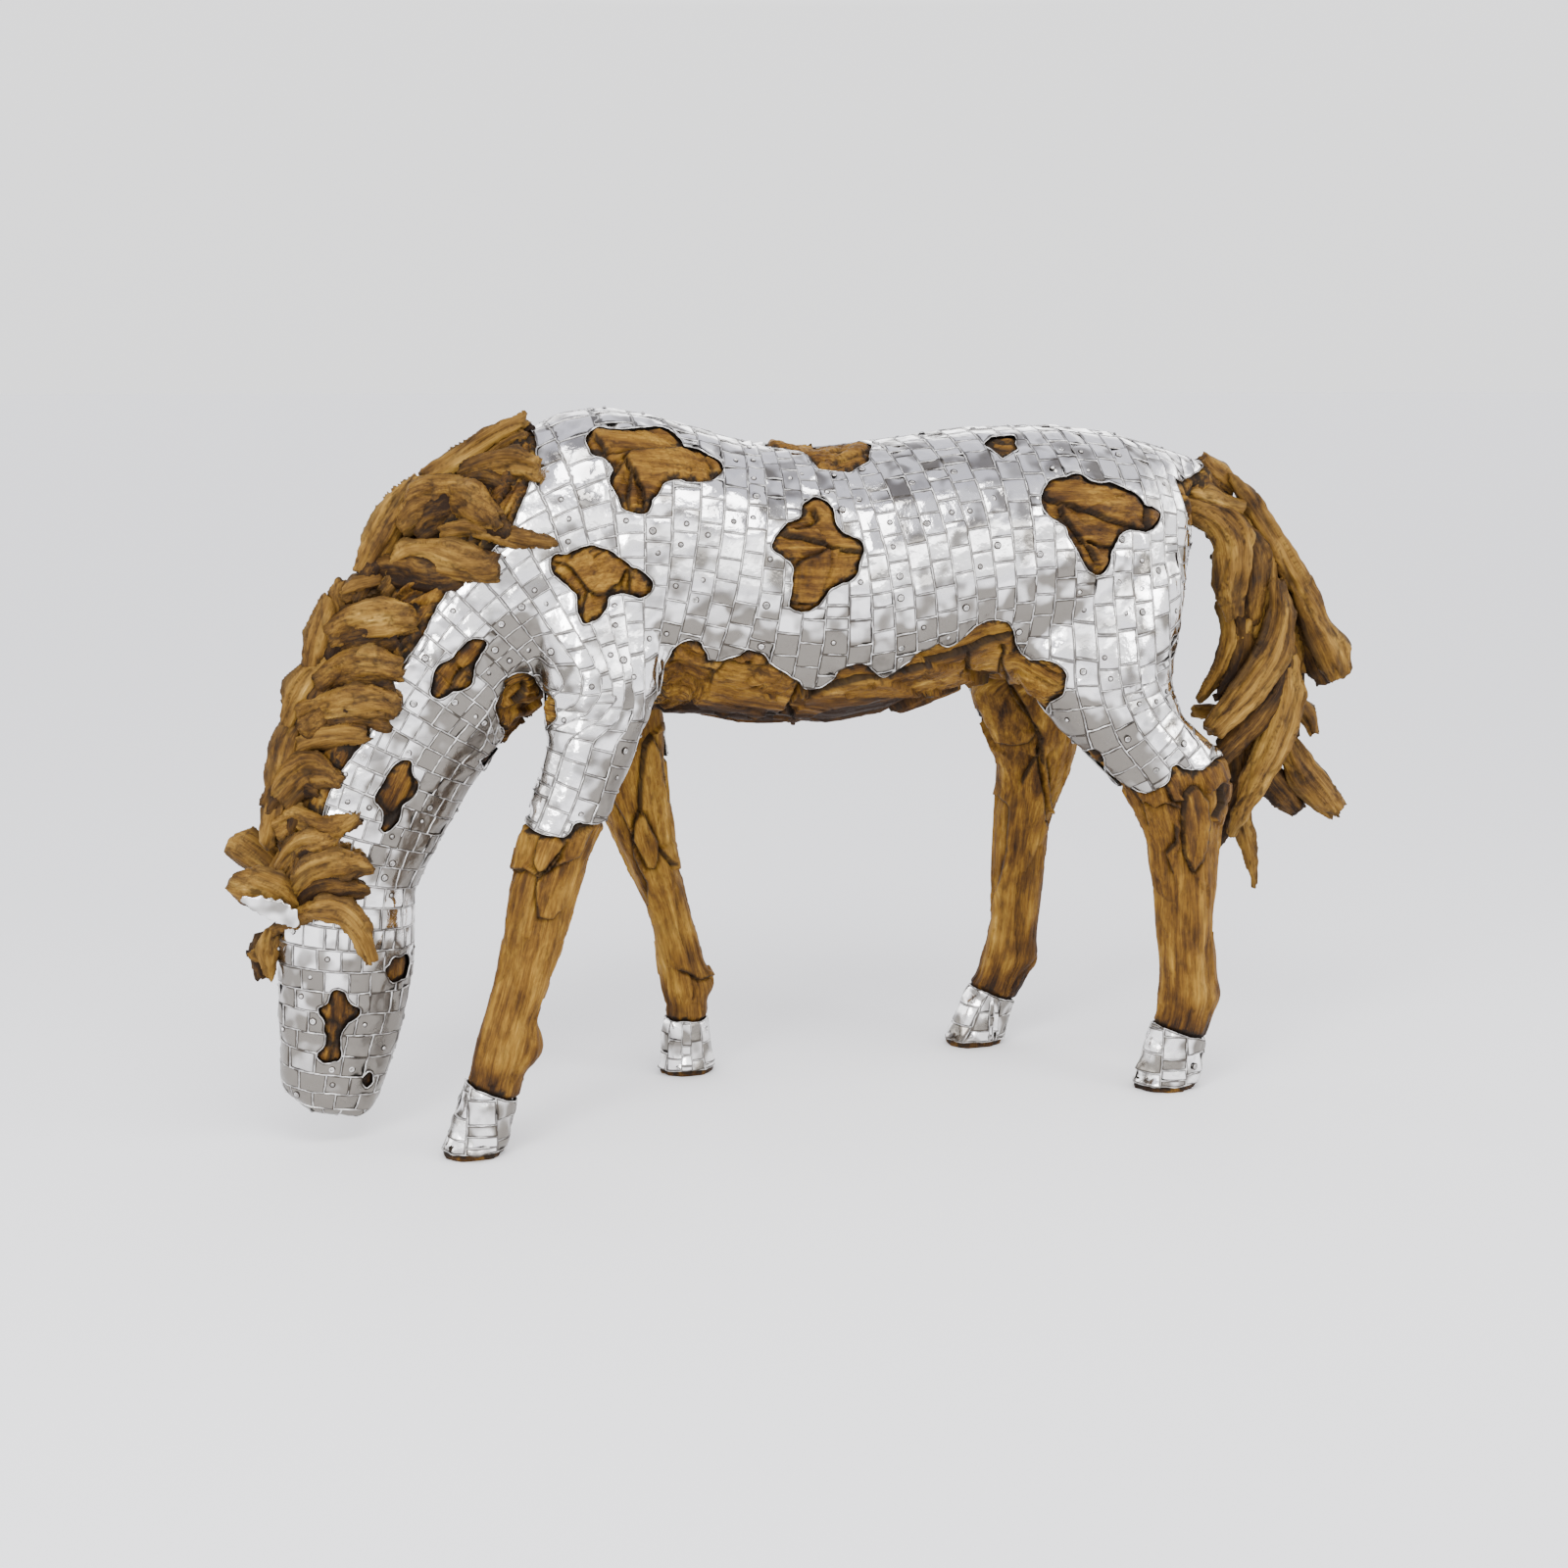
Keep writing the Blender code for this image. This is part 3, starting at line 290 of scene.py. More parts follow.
HOOF_CAPS = ("hoof_cap_front_left", "hoof_cap_front_right", "hoof_cap_hind_left", "hoof_cap_hind_right")
CLAD = ("steel_coat", *HOOF_CAPS)
camera_turn = Euler((math.pi / 2 - CAMERA_PITCH, 0, CAMERA_AZIMUTH)).to_matrix()


def in_frame(point):
    """Where the camera sees a point: right and down in its frame."""
    x, y, z = camera_turn.transposed() @ (point - CAMERA_PLACE)
    return FRAME_SIZE / 2 - LENS_PIXELS * x / z, FRAME_SIZE / 2 + LENS_PIXELS * y / z


def tree_of(*names):
    """The nodes' faces, to be searched."""
    bm = bmesh.new()
    for name in names:
        bm.from_mesh(nodes[name].data)
    tree = BVHTree.FromBMesh(bm)
    bm.free()
    return tree


coat_tree = tree_of(*CLAD)
opening_boxes = {}
for name, outline in OPENINGS.items():
    rights, downs = zip(*outline)
    opening_boxes[name] = (min(rights), max(rights), min(downs), max(downs))


def within(name, x, y):
    """Whether a place in the frame is in a drawn opening."""
    left, right, top, bottom = opening_boxes[name]
    if not (left <= x <= right and top <= y <= bottom):
        return False
    outline = OPENINGS[name]
    inside = False
    for k, (x1, y1) in enumerate(outline):
        x2, y2 = outline[k - 1]
        if (y1 > y) != (y2 > y) and x < x1 + (y - y1) * (x2 - x1) / (y2 - y1):
            inside = not inside
    return inside


def covered(point, normal):
    """Whether steel covers the skin there: the solid coat tells, but for the drawn openings and just round
    them, and for the inner sides of the far legs, which are bare."""
    faces_camera = (CAMERA_PLACE - point).dot(normal) > 0
    if faces_camera and point[1] > NEAR_SIDE and FAR_LEG_BOTTOM < point[2] < FAR_LEG_TOP:
        return False
    if faces_camera and point[1] < NEAR_SIDE:
        x, y = in_frame(point)
        for name in OPENINGS:
            if within(name, x, y):
                return False
        for name in OPENINGS:
            left, right, top, bottom = opening_boxes[name]
            reach = CLOSED_ROUND[-1]
            if not (left - reach < x < right + reach and top - reach < y < bottom + reach):
                continue
            ways = STRAIGHT_WAYS[:1] if name in EDGES else STRAIGHT_WAYS + SLANTED_WAYS
            if any(within(name, x + r * dx, y + r * dy) for r in CLOSED_ROUND for dx, dy in ways):
                return True
    hit, _, _, _ = coat_tree.ray_cast(point + normal * COAT_SIGHT, -normal, 2 * COAT_SIGHT)
    return hit is not None


def depth_under_coat(mesh):
    """How far each of a mesh's points lies inside the coat's outline, and below 0 how far outside it."""
    points = [v.co.copy() for v in mesh.vertices]
    normals = [Vector(n.vector) for n in mesh.vertex_normals]
    under = [covered(p, n) for p, n in zip(points, normals)]
    crossings = {}
    for edge in mesh.edges:
        a, b = edge.vertices
        if under[a] == under[b]:
            continue
        low, high = 0.0, 1.0
        for _ in range(OUTLINE_HALVINGS):
            middle = (low + high) / 2
            point = points[a].lerp(points[b], middle)
            if covered(point, normals[a].lerp(normals[b], middle).normalized()) == under[a]:
                low = middle
            else:
                high = middle
        crossings[edge.key] = points[a].lerp(points[b], (low + high) / 2)
    outline = []
    for face in mesh.polygons:
        ends = [crossings[key] for key in face.edge_keys if key in crossings]
        if len(ends) == 2:
            outline += [ends[0].lerp(ends[1], t / OUTLINE_PARTS) for t in range(OUTLINE_PARTS + 1)]
    tree = KDTree(len(outline))
    for k, point in enumerate(outline):
        tree.insert(point, k)
    tree.balance()
    away = np.array([min(tree.find(point)[2], OUTLINE_REACH) for point in points])
    depth = np.where(under, away, -away)
    ends = np.array([edge.vertices[:] for edge in mesh.edges]).T
    for _ in range(OUTLINE_ROUNDING):
        total, count = np.zeros(len(points)), np.zeros(len(points))
        for a, b in (ends, ends[::-1]):
            np.add.at(total, a, depth[b])
            np.add.at(count, a, 1)
        depth = (depth + total / count) / 2
    for scale, size in WAVER:
        depth += [size * noise.noise(point * scale) for point in points]
    return depth


def store(mesh, name, values, kind="FLOAT"):
    """Keeps a value for each of the mesh's points, for its material."""
    attribute = mesh.attributes.new(name, kind, "POINT")
    attribute.data.foreach_set("vector" if kind == "FLOAT_VECTOR" else "value",
                               np.asarray(values, np.float32).ravel())


def refined(mesh, depth, reach):
    """The mesh with finer faces where its points lie less deep than the reach."""
    bm = bmesh.new()
    bm.from_mesh(mesh)
    bm.verts.ensure_lookup_table()
    fine = [e for e in bm.edges if min(depth[v.index] for v in e.verts) < reach]
    bmesh.ops.subdivide_edges(bm, edges=fine, cuts=1, use_grid_fill=True)
    made = bpy.data.meshes.new(mesh.name)
    bm.to_mesh(made)
    bm.free()
    return made


skin = refined(skin, depth_under_coat(skin), FINE_REACH)
skin_points, skin_normals = corners_of(skin)
skin_depth = depth_under_coat(skin)
skin_along, skin_turn, skin_drop, _, skin_on_leg = lie_of(skin_points)

# The wood shows below the belly, on the crest, at the lower legs and in the coat's openings: slabs that lie
# side by side along the body and down the legs, with dark joints, and burnt to black along the steel.
# Painted shade darkens it too: the belly's downward faces, the wood under the slats of mane and tail, and
# the lower side of each drawn joint.
SLAB = (0.30, 0.095, 0.095)
SLAB_STEP = 0.012
SLAB_JOINT = 0.007
SLAB_DOME = 0.005
SPLIT = (0.10, 0.014, 0.014)
SPLIT_STEP = 0.0024
SLAB_SWERVE = 1.1
SUNK = 0.007
BULGE = 0.004
MANE_SHADE = 0.07
WOOD_FINE = -0.002
FETLOCK = 0.32
FETLOCK_SWELL = 0.009
FETLOCK_HEIGHT = 0.215
FETLOCK_REACH = 0.030
PASTERN_WAIST = 0.004
PASTERN_HEIGHT = 0.170
PASTERN_REACH = 0.022
SOLE_TOP = 0.06
UNDER_SLATS = 0.020
MOST_FACES = 195000
BELLY_SHADE = 0.9
# The joints between the slabs that show from the camera's side, drawn as the openings are: the wood on a
# line's left, going along it, lies over the wood on its right.
# The wood beside each line, on its lower side, is darkened by a painted shadow.
JOINTS = (
    ((697, 456), (688, 458), (672, 459), (657, 460), (643, 460), (634, 463), (624, 465), (615, 467)),
    ((608, 447), (615, 455), (617, 462), (615, 467)),
    ((643, 460), (638, 467), (641, 475), (645, 481), (643, 496), (641, 506), (642, 519)),
    ((647, 481), (651, 492), (656, 500), (658, 509), (657, 521)),
    ((638, 471), (632, 479), (625, 490)),
    ((566, 573), (577, 575), (584, 580), (590, 588), (596, 596), (601, 603), (609, 607), (619, 606),
     (624, 599), (632, 594), (638, 582)),
    ((642, 582), (643, 592), (642, 607)),
    ((601, 603), (596, 617), (594, 630)),
    ((792, 544), (807, 548), (818, 550), (832, 554), (845, 558), (855, 560), (867, 562), (882, 564)),
    ((855, 560), (843, 562), (835, 567), (827, 569), (817, 573), (811, 580)),
    ((803, 616), (822, 615), (838, 613)),
    ((830, 522), (835, 532), (825, 540), (810, 542)),
    ((1062, 503), (1072, 510), (1082, 513), (1095, 515), (1105, 520), (1115, 523), (1127, 528),
     (1138, 532), (1150, 536), (1160, 540), (1170, 543)),
    ((1083, 518), (1087, 528), (1093, 537), (1100, 545), (1105, 553), (1112, 562), (1117, 572)),
    ((1169, 516), (1169, 528), (1170, 542)),
    ((1110, 552), (1122, 558), (1137, 558)),
    ((497, 660), (491, 669), (483, 677), (473, 683), (465, 692), (462, 700), (455, 710)),
    ((513, 702), (523, 698), (533, 694), (537, 698), (530, 707), (523, 713)),
    ((508, 723), (523, 715), (537, 715), (547, 707), (555, 706)),
    ((515, 740), (523, 730), (537, 727), (547, 718)),
    ((676, 708), (701, 711), (713, 720), (740, 728), (752, 725), (770, 731), (792, 729), (810, 717),
     (822, 705)),
    ((810, 732), (801, 723), (810, 708), (816, 696)),
    ((1034, 647), (1013, 653), (988, 664), (961, 672), (931, 681), (901, 691), (876, 693), (852, 699),
     (825, 711)),
    ((728, 684), (740, 675), (761, 675), (782, 678)),
    ((685, 675), (698, 672), (716, 678), (728, 681), (725, 696)),
    ((988, 665), (988, 685), (1019, 687), (1022, 665)),
    ((1025, 659), (1022, 678), (1031, 696), (1046, 720), (1061, 753), (1064, 778)),
    ((785, 726), (822, 734), (852, 723), (882, 720), (913, 711), (958, 702), (988, 693), (1019, 688)),
    ((979, 708), (998, 735), (1010, 762)),
    ((1110, 765), (1125, 778), (1145, 798), (1165, 815), (1172, 840)),
    ((552, 852), (548, 865), (545, 880), (550, 890), (560, 888), (570, 875), (578, 855)),
    ((580, 855), (590, 845), (600, 842)),
    ((535, 845), (528, 862), (522, 885)),
    ((527, 888), (537, 887), (550, 895), (560, 883), (577, 860)),
    ((548, 895), (547, 917), (550, 937), (563, 938), (569, 930)),
    ((555, 892), (568, 883), (590, 875), (603, 847)),
    ((665, 750), (658, 760), (655, 783), (653, 810), (653, 830)),
    ((680, 817), (675, 790), (672, 767), (665, 750)),
    ((652, 827), (647, 840), (647, 857), (655, 873), (660, 885), (668, 887), (671, 877), (672, 860),
     (663, 843), (658, 832), (652, 827)),
    ((627, 817), (637, 833), (645, 850), (647, 873), (660, 900), (662, 920)),
    ((673, 867), (687, 882)),
    ((695, 990), (703, 993), (713, 1000), (720, 997)),
    ((1027, 690), (1032, 707), (1043, 723), (1057, 740), (1063, 753), (1060, 767), (1050, 783),
     (1043, 797)),
    ((978, 707), (990, 727), (1002, 740), (1007, 760), (1017, 773)),
    ((1000, 723), (1010, 743), (1017, 757), (1037, 760), (1050, 757), (1057, 747)),
    ((1067, 840), (1065, 813), (1060, 787), (1057, 763)),
    ((1073, 823), (1070, 797), (1067, 773)),
    ((1020, 813), (1030, 823), (1028, 847), (1027, 867), (1023, 887), (1018, 907)),
    ((1217, 803), (1210, 810), (1207, 830), (1207, 850), (1209, 873), (1218, 890), (1227, 880),
     (1232, 860), (1235, 840), (1232, 817), (1223, 804), (1217, 803)),
    ((1190, 803), (1197, 817), (1207, 817)),
    ((1170, 817), (1180, 823), (1190, 818), (1200, 823)),
    ((1200, 843), (1200, 860), (1190, 870), (1197, 890)),
    ((1237, 807), (1245, 800), (1247, 820), (1240, 833)),
)
JOINT_REACH = 24
JOINT_GROOVE = 2.0
JOINT_STEP = 0.009
JOINT_DEPTH = 0.007


class Shade:
    """A socket among a material's nodes. Arithmetic adds Math nodes, and node() adds any other kind."""

    def __init__(self, tree, socket=None):
        self.tree = tree
        self.socket = socket

    def node(self, kind, settings=None, inputs=None, output=0):
        made = self.tree.nodes.new("ShaderNode" + kind)
        for name, value in (settings or {}).items():
            if name == "stops":
                ramp = made.color_ramp.elements
                while len(ramp) < len(value):
                    ramp.new(1.0)
                for element, (position, colour) in zip(ramp, value):
                    element.position = position
                    element.color = (*colour, 1.0)
            else:
                setattr(made, name, value)
        for name, value in (inputs or {}).items():
            if isinstance(value, Shade):
                self.tree.links.new(value.socket, made.inputs[name])
            else:
                made.inputs[name].default_value = value
        return Shade(self.tree, made.outputs[output])

    def math(self, operation, *values):
        return self.node("Math", {"operation": operation}, dict(enumerate(values)))

    def __add__(self, other):
        return self.math("ADD", self, other)

    __radd__ = __add__

    def __sub__(self, other):
        return self.math("SUBTRACT", self, other)

    def __rsub__(self, other):
        return self.math("SUBTRACT", other, self)

    def __mul__(self, other):
        return self.math("MULTIPLY", self, other)

    __rmul__ = __mul__

    def between(self, low, high):
        """0 where this is below low, 1 above high."""
        return self.node("MapRange", {"interpolation_type": "SMOOTHSTEP"}, {0: self, 1: low, 2: high})

    def mix(self, factor, first, second):
        first, second = ((*c, 1.0) if isinstance(c, tuple) else c for c in (first, second))
        return self.node("Mix", {"data_type": "RGBA"}, {0: factor, 6: first, 7: second}, output=2)

    def stored(self, name, output=2):
        """A value that the mesh holds at its points: 2 a number, 1 a vector."""
        return self.node("Attribute", {"attribute_name": name}, output=output)

    def noise(self, place, scale, detail=3.0, roughness=0.5):
        return self.node("TexNoise", None, {"Vector": place, "Scale": scale, "Detail": detail,
                                            "Roughness": roughness})

    def stretched(self, place, stretch):
        return self.node("VectorMath", {"operation": "MULTIPLY"}, {0: place, 1: stretch})

    def bump(self, height, distance, strength=1.0):
        return self.node("Bump", None, {"Height": height, "Distance": distance, "Strength": strength})


def material(name, metallic=0.0, **constants):
    """A material and its nodes, with a Principled shader whose unlinked sockets hold the constants."""
    made = bpy.data.materials.new(name)
    made.use_nodes = True
    tree = made.node_tree
    shader = tree.nodes["Principled BSDF"]
    shader.inputs["Metallic"].default_value = metallic
    for socket, value in constants.items():
        shader.inputs[socket.replace("_", " ")].default_value = value

    def feed(**links):
        for socket, value in links.items():
            tree.links.new(value.socket, shader.inputs[socket.replace("_", " ")])

    return made, Shade(tree), feed


# Burnt black; the same colour paints shade under the slats, beside drawn joints and at the slats' edges.
WOOD_BURNT_AND_SHADE = (0.010, 0.007, 0.005)


def root_wood(name, stops):
    """Wood whose streaks run along the stored grain, with blotches, dark joints and burnt rims, and with
    painted shade: a shadow beside drawn joints, darker slat edges and darker wood under the slats.
    """
    made, shade, feed = material(name, Specular_IOR_Level=0.12)
    grain = shade.stored("grain", output=1)
    streaks = shade.noise(shade.stretched(grain, (4.0, 70.0, 70.0)), 1.0, 6.0, 0.70)
    fibres = shade.noise(shade.stretched(grain, (14.0, 380.0, 380.0)), 1.0, 4.0, 0.7)
    patches = shade.noise(shade.stretched(grain, (9.0, 16.0, 16.0)), 1.0, 4.0, 0.6)
    tone = streaks * 1.25 + patches * 1.15 + fibres * 0.55 + shade.stored("slab") * 0.30 - 1.17
    colour = shade.node("ValToRGB", {"stops": stops}, {0: tone})
    stain = shade.noise(shade.stretched(grain, (14.0, 34.0, 34.0)), 1.0, 3.0, 0.7).between(0.55, 0.70)
    colour = shade.mix(stain * (0.75 - shade.stored("planed") * 0.45), colour, stops[0][1])
    # Dark joints, and painted shade: a shadow beside drawn joints and darker slat edges.
    joint = shade.stored("joint")
    colour = shade.mix(joint * 0.88, colour, WOOD_BURNT_AND_SHADE)
    ragged = shade.noise(grain, 45.0, 3.0, 0.6)
    # Burnt along the steel, and painted shade under and close by the slats.
    burn_and_shade = 1 - (shade.stored("rim") + ragged * 0.060 - 0.030).between(0.001, 0.016)
    colour = shade.mix(burn_and_shade * 0.95, colour, WOOD_BURNT_AND_SHADE)
    feed(Base_Color=colour, Roughness=0.50 + fibres * 0.22 + burn_and_shade * 0.1,
         Normal=shade.bump(streaks * 0.8 + fibres * 0.35, 0.0040, 0.9))
    return made


def place(name, mesh, slot, *replaced):
    """A finished piece on the horse's one body, which may stand for some nodes."""
    obj = bpy.data.objects.new(name, mesh)
    bpy.context.scene.collection.objects.link(obj)
    mesh.shade_smooth()
    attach(obj, "root")
    if replaced:
        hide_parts(*replaced)
    return obj


def thinned(mesh, name, most):
    """The mesh with its flattest places in larger faces, so that it has few enough triangles."""
    mesh.calc_loop_triangles()
    holder = bpy.data.objects.new("thinned", mesh)
    bpy.context.scene.collection.objects.link(holder)
    fewer = holder.modifiers.new("fewer", "DECIMATE")
    fewer.ratio = min(1.0, most / len(mesh.loop_triangles))
    graph = bpy.context.evaluated_depsgraph_get()
    lighter = bpy.data.meshes.new_from_object(holder.evaluated_get(graph))
    bpy.data.objects.remove(holder)
    lighter.name = name
    return lighter


def slabs(grain, size, seed):
    """The slab that a place in the wood's space is in: its lift, its tone and how close its joint is."""
    spot = Vector((grain[0] / size[0], grain[1] / size[1], grain[2] / size[2])) + Vector((seed, seed, seed))
    spot += 0.30 * noise.noise_vector(spot * 1.7)
    distances, centres = noise.voronoi(spot)
    pick = noise.cell_vector(centres[0] * 37.0)
    across = (spot - centres[0])[1] + (spot - centres[0])[2]
    slope = (pick[0] - 0.5) + across * (pick[1] - 0.5) * 1.6
    return slope, pick[2], distances[1] - distances[0]


def swerved(grain, point):
    """The wood's space turned a little from place to place, as the slabs in the body's openings are."""
    angle = SLAB_SWERVE * noise.noise(point * 3.1 + Vector((5, 0, 2)))
    c, s = math.cos(angle), math.sin(angle)
    return grain[0] * c - grain[1] * s, grain[0] * s + grain[1] * c, grain[2]


def drawn_joint(point, normal):
    """How a drawn joint moves the wood at a point, and how dark it makes it: its groove, and beside it on
    the lower wood a painted shadow.
    """
    if (CAMERA_PLACE - point).dot(normal) <= 0:
        return 0.0, 0.0, False
    x, y = in_frame(point)
    best, side = JOINT_REACH, 0.0
    for line in JOINTS:
        for (x1, y1), (x2, y2) in zip(line, line[1:]):
            if abs(x - x1) > 2 * JOINT_REACH or abs(y - y1) > 2 * JOINT_REACH:
                continue
            dx, dy = x2 - x1, y2 - y1
            share = min(1.0, max(0.0, ((x - x1) * dx + (y - y1) * dy) / (dx * dx + dy * dy)))
            away = math.hypot(x - x1 - share * dx, y - y1 - share * dy)
            if away < best:
                best, side = away, math.copysign(1.0, dx * (y - y1) - dy * (x - x1))
    if best == JOINT_REACH:
        return 0.0, 0.0, False
    wide = JOINT_GROOVE * (1 + 0.6 * noise.noise(point * 40))
    groove = 1 - float(eased(best / wide / 1.6))
    step = JOINT_STEP * (1 - best / JOINT_REACH) ** 2
    # A painted shadow that the upper slab would cast on the lower one.
    shadow = 0.4 * (1 - float(eased(best / 6))) if side > 0 else 0.0
    return -side * step - JOINT_DEPTH * groove, max(groove, shadow), True


store(skin, "depth", skin_depth)
SLAT_NAMES = ("mane_lock", "tail_strand", "ear_left", "ear_right")
slat_nodes = [n for n in sorted(nodes) if n.startswith(SLAT_NAMES)]
slat_tree = tree_of(*slat_nodes)
# Only what shows from the side that the joints are drawn on is made finer still.
facing = np.einsum("ij,ij->i", np.array(CAMERA_PLACE) - skin_points, skin_normals) > 0
hidden = np.array([slat_tree.find_nearest(Vector(p), UNDER_SLATS)[0] is not None for p in skin_points])
wood = refined(skin, np.where(facing & ~hidden, skin_depth, 1.0), WOOD_FINE)
wood_points, wood_normals = corners_of(wood)
wood_depth = np.empty(len(wood_points), np.float32)
wood.attributes["depth"].data.foreach_get("value", wood_depth)
_, _, _, wood_grain, wood_on_leg = lie_of(wood_points)
slab_tone = np.zeros(len(wood_points))
slab_joint_and_shade = np.zeros(len(wood_points))
burnt_rim_and_shade = np.where(wood_depth > 0, 0, -wood_depth)
for k, depth in enumerate(wood_depth):
    point, normal = Vector(wood_points[k]), Vector(wood_normals[k])
    if depth > FINE_REACH:
        wood_points[k] -= normal * SUNK
        continue
    leg = wood_on_leg[k]
    grain = wood_grain[k] if leg > 0.5 or point[2] < 0.93 else swerved(wood_grain[k], point)
    stretch = 1 + 0.5 * leg
    body = 1 - leg
    facing_down = float(eased((0.1 - normal[2]) / 0.7))
    low_on_body = float(eased((0.95 - point[2]) / 0.05))
    slope, tone, gap = slabs(grain, [s * stretch for s in SLAB], 3.0)
    split_slope, split_tone, split_gap = slabs(grain, SPLIT, 11.0)
    edge = 1 - float(eased(gap / 0.14))
    moved, dark, drawn = drawn_joint(point, normal)
    share = 1 - 0.55 * leg + 0.5 * facing_down * body
    own = 0.15 if drawn else 1.0
    relief = (slope * SLAB_STEP + (float(eased(gap / 0.5)) * SLAB_DOME - edge * SLAB_JOINT) * own) * share
    relief += split_slope * SPLIT_STEP + moved
    plain_joint = edge ** 2 * (1 - 0.8 * leg) * own
    slab_joint_and_shade[k] = max(plain_joint, dark, 0.35 * float(eased(1 - split_gap / 0.10)))
    slab_tone[k] = 0.6 * tone + 0.4 * split_tone + 0.40 * leg - 0.22 * leg * (point[0] > 0)
    # Painted shade: the body's downward faces low on the belly are darker.
    slab_tone[k] -= BELLY_SHADE * body * facing_down * low_on_body
    if leg > 0.5:
        slab_tone[k] -= 0.9 * float(eased((FETLOCK - point[2]) / 0.12)) * (noise.noise(point * 14) + 0.5)
        slab_tone[k] -= 0.7 * float(eased((FETLOCK_HEIGHT - point[2]) / 0.05))
    bare = float(eased(-depth / 0.016))
    lift = bare * (relief + BULGE) - SUNK * float(eased((depth + 0.012) / 0.014))
    if point[2] > SOLE_TOP:
        wood_points[k] += normal * lift
    if leg > 0.5:
        behind = max(0.0, normal[0])
        swell = FETLOCK_SWELL * math.exp(-((point[2] - FETLOCK_HEIGHT) / FETLOCK_REACH) ** 2)
        waist = PASTERN_WAIST * math.exp(-((point[2] - PASTERN_HEIGHT) / PASTERN_REACH) ** 2)
        wood_points[k] += normal * (swell * behind - waist) * bare
    # Painted shade: the wood under the slats or close by them is darkened the way a burnt rim is.
    under_slat = slat_tree.ray_cast(point + normal * 0.002, normal, MANE_SHADE)[0]
    near_slat = slat_tree.find_nearest(point, 0.020)[0]
    if point[2] > 0.35 and (under_slat or near_slat):
        burnt_rim_and_shade[k] = min(burnt_rim_and_shade[k], 0.004 + 0.006 * (noise.noise(point * 30) + 0.5))
wood.vertices.foreach_set("co", wood_points.ravel())
store(wood, "grain", wood_grain, "FLOAT_VECTOR")
store(wood, "slab", slab_tone)
store(wood, "joint", slab_joint_and_shade)
store(wood, "rim", burnt_rim_and_shade)
store(wood, "planed", wood_on_leg)
teak = root_wood("teak_root", (
    (0.05, (0.015, 0.006, 0.002)), (0.30, (0.064, 0.027, 0.004)), (0.52, (0.142, 0.067, 0.009)),
    (0.76, (0.255, 0.136, 0.020)), (1.0, (0.420, 0.260, 0.058))))
wood = thinned(wood, "carved_figure", MOST_FACES)
wood.materials.append(teak)
place("carved_figure", wood, "teak_root", "wood_figure")

# The coat of welded plates.
# Small plates of polished stainless sheet, cut about 46 mm wide and 43 to 60 mm tall, laid in rows round the
# girth and staggered like bricks, with raised weld beads along every joint.
PLATE_WIDTH = 0.046
PLATE_HEIGHT = 0.051
PLATE_LIFT = 0.0040
PLATE_EDGE = 0.004
PLATE_CROWN = 0.0006
PLATE_TILT = 0.060
PLATE_DENT = 0.0017
UNEVEN = 0.0022
HALVED = 0.09
CRUMPLED = 0.16
TONE_SPREAD = 0.75
LEAST_TONE = 0.36
LEANING_SHADE = 1.25
LOW_HEAD_SHADE = 0.95
NECK_SHADE = 0.8
HOOF_SHADE = 0.25
BEAD = 0.0017
RIM_BEAD = 0.0013
BEAD_STEP = 0.006
HOOF_HEIGHT = 0.2
HOOF_PLATES = 7

POINT, NORMAL, ALONG, TURN, DROP, DEPTH = slice(0, 3), slice(3, 6), 6, 7, 8, 9
FULL_TURN = np.zeros(10)
FULL_TURN[TURN] = 2 * math.pi


def chance(*seeds):
    """Three numbers from 0 to 1 that belong to the seeds."""
    a, b, c = (*seeds, 0, 0)[:3]
    return noise.cell_vector(Vector((a * 1.37 + 0.5, b * 2.11 + 0.5, c * 3.73 + 0.5)) * 7.0)


def split(corners, values, level):
    """A flat polygon cut where its values pass a level: the parts below and above it, and the cut's ends."""
    below, above, cut = [], [], []
    count = len(corners)
    for k in range(count):
        p, a = corners[k], values[k]
        q, b = corners[(k + 1) % count], values[(k + 1) % count]
        (below if a < level else above).append(p)
        if (a < level) != (b < level):
            crossing = p + (q - p) * ((level - a) / (b - a))
            below.append(crossing)
            above.append(crossing)
            cut.append(crossing)
    return below, above, cut


def joint_level(row, number):
    """How far round the joint below a row's plate of that number lies."""
    stagger = 0.5 * (row % 2) + 0.4 * (chance(row, 11)[0] - 0.5)
    return (number + stagger + 0.14 * (chance(row, number, 5)[0] - 0.5)) * PLATE_HEIGHT


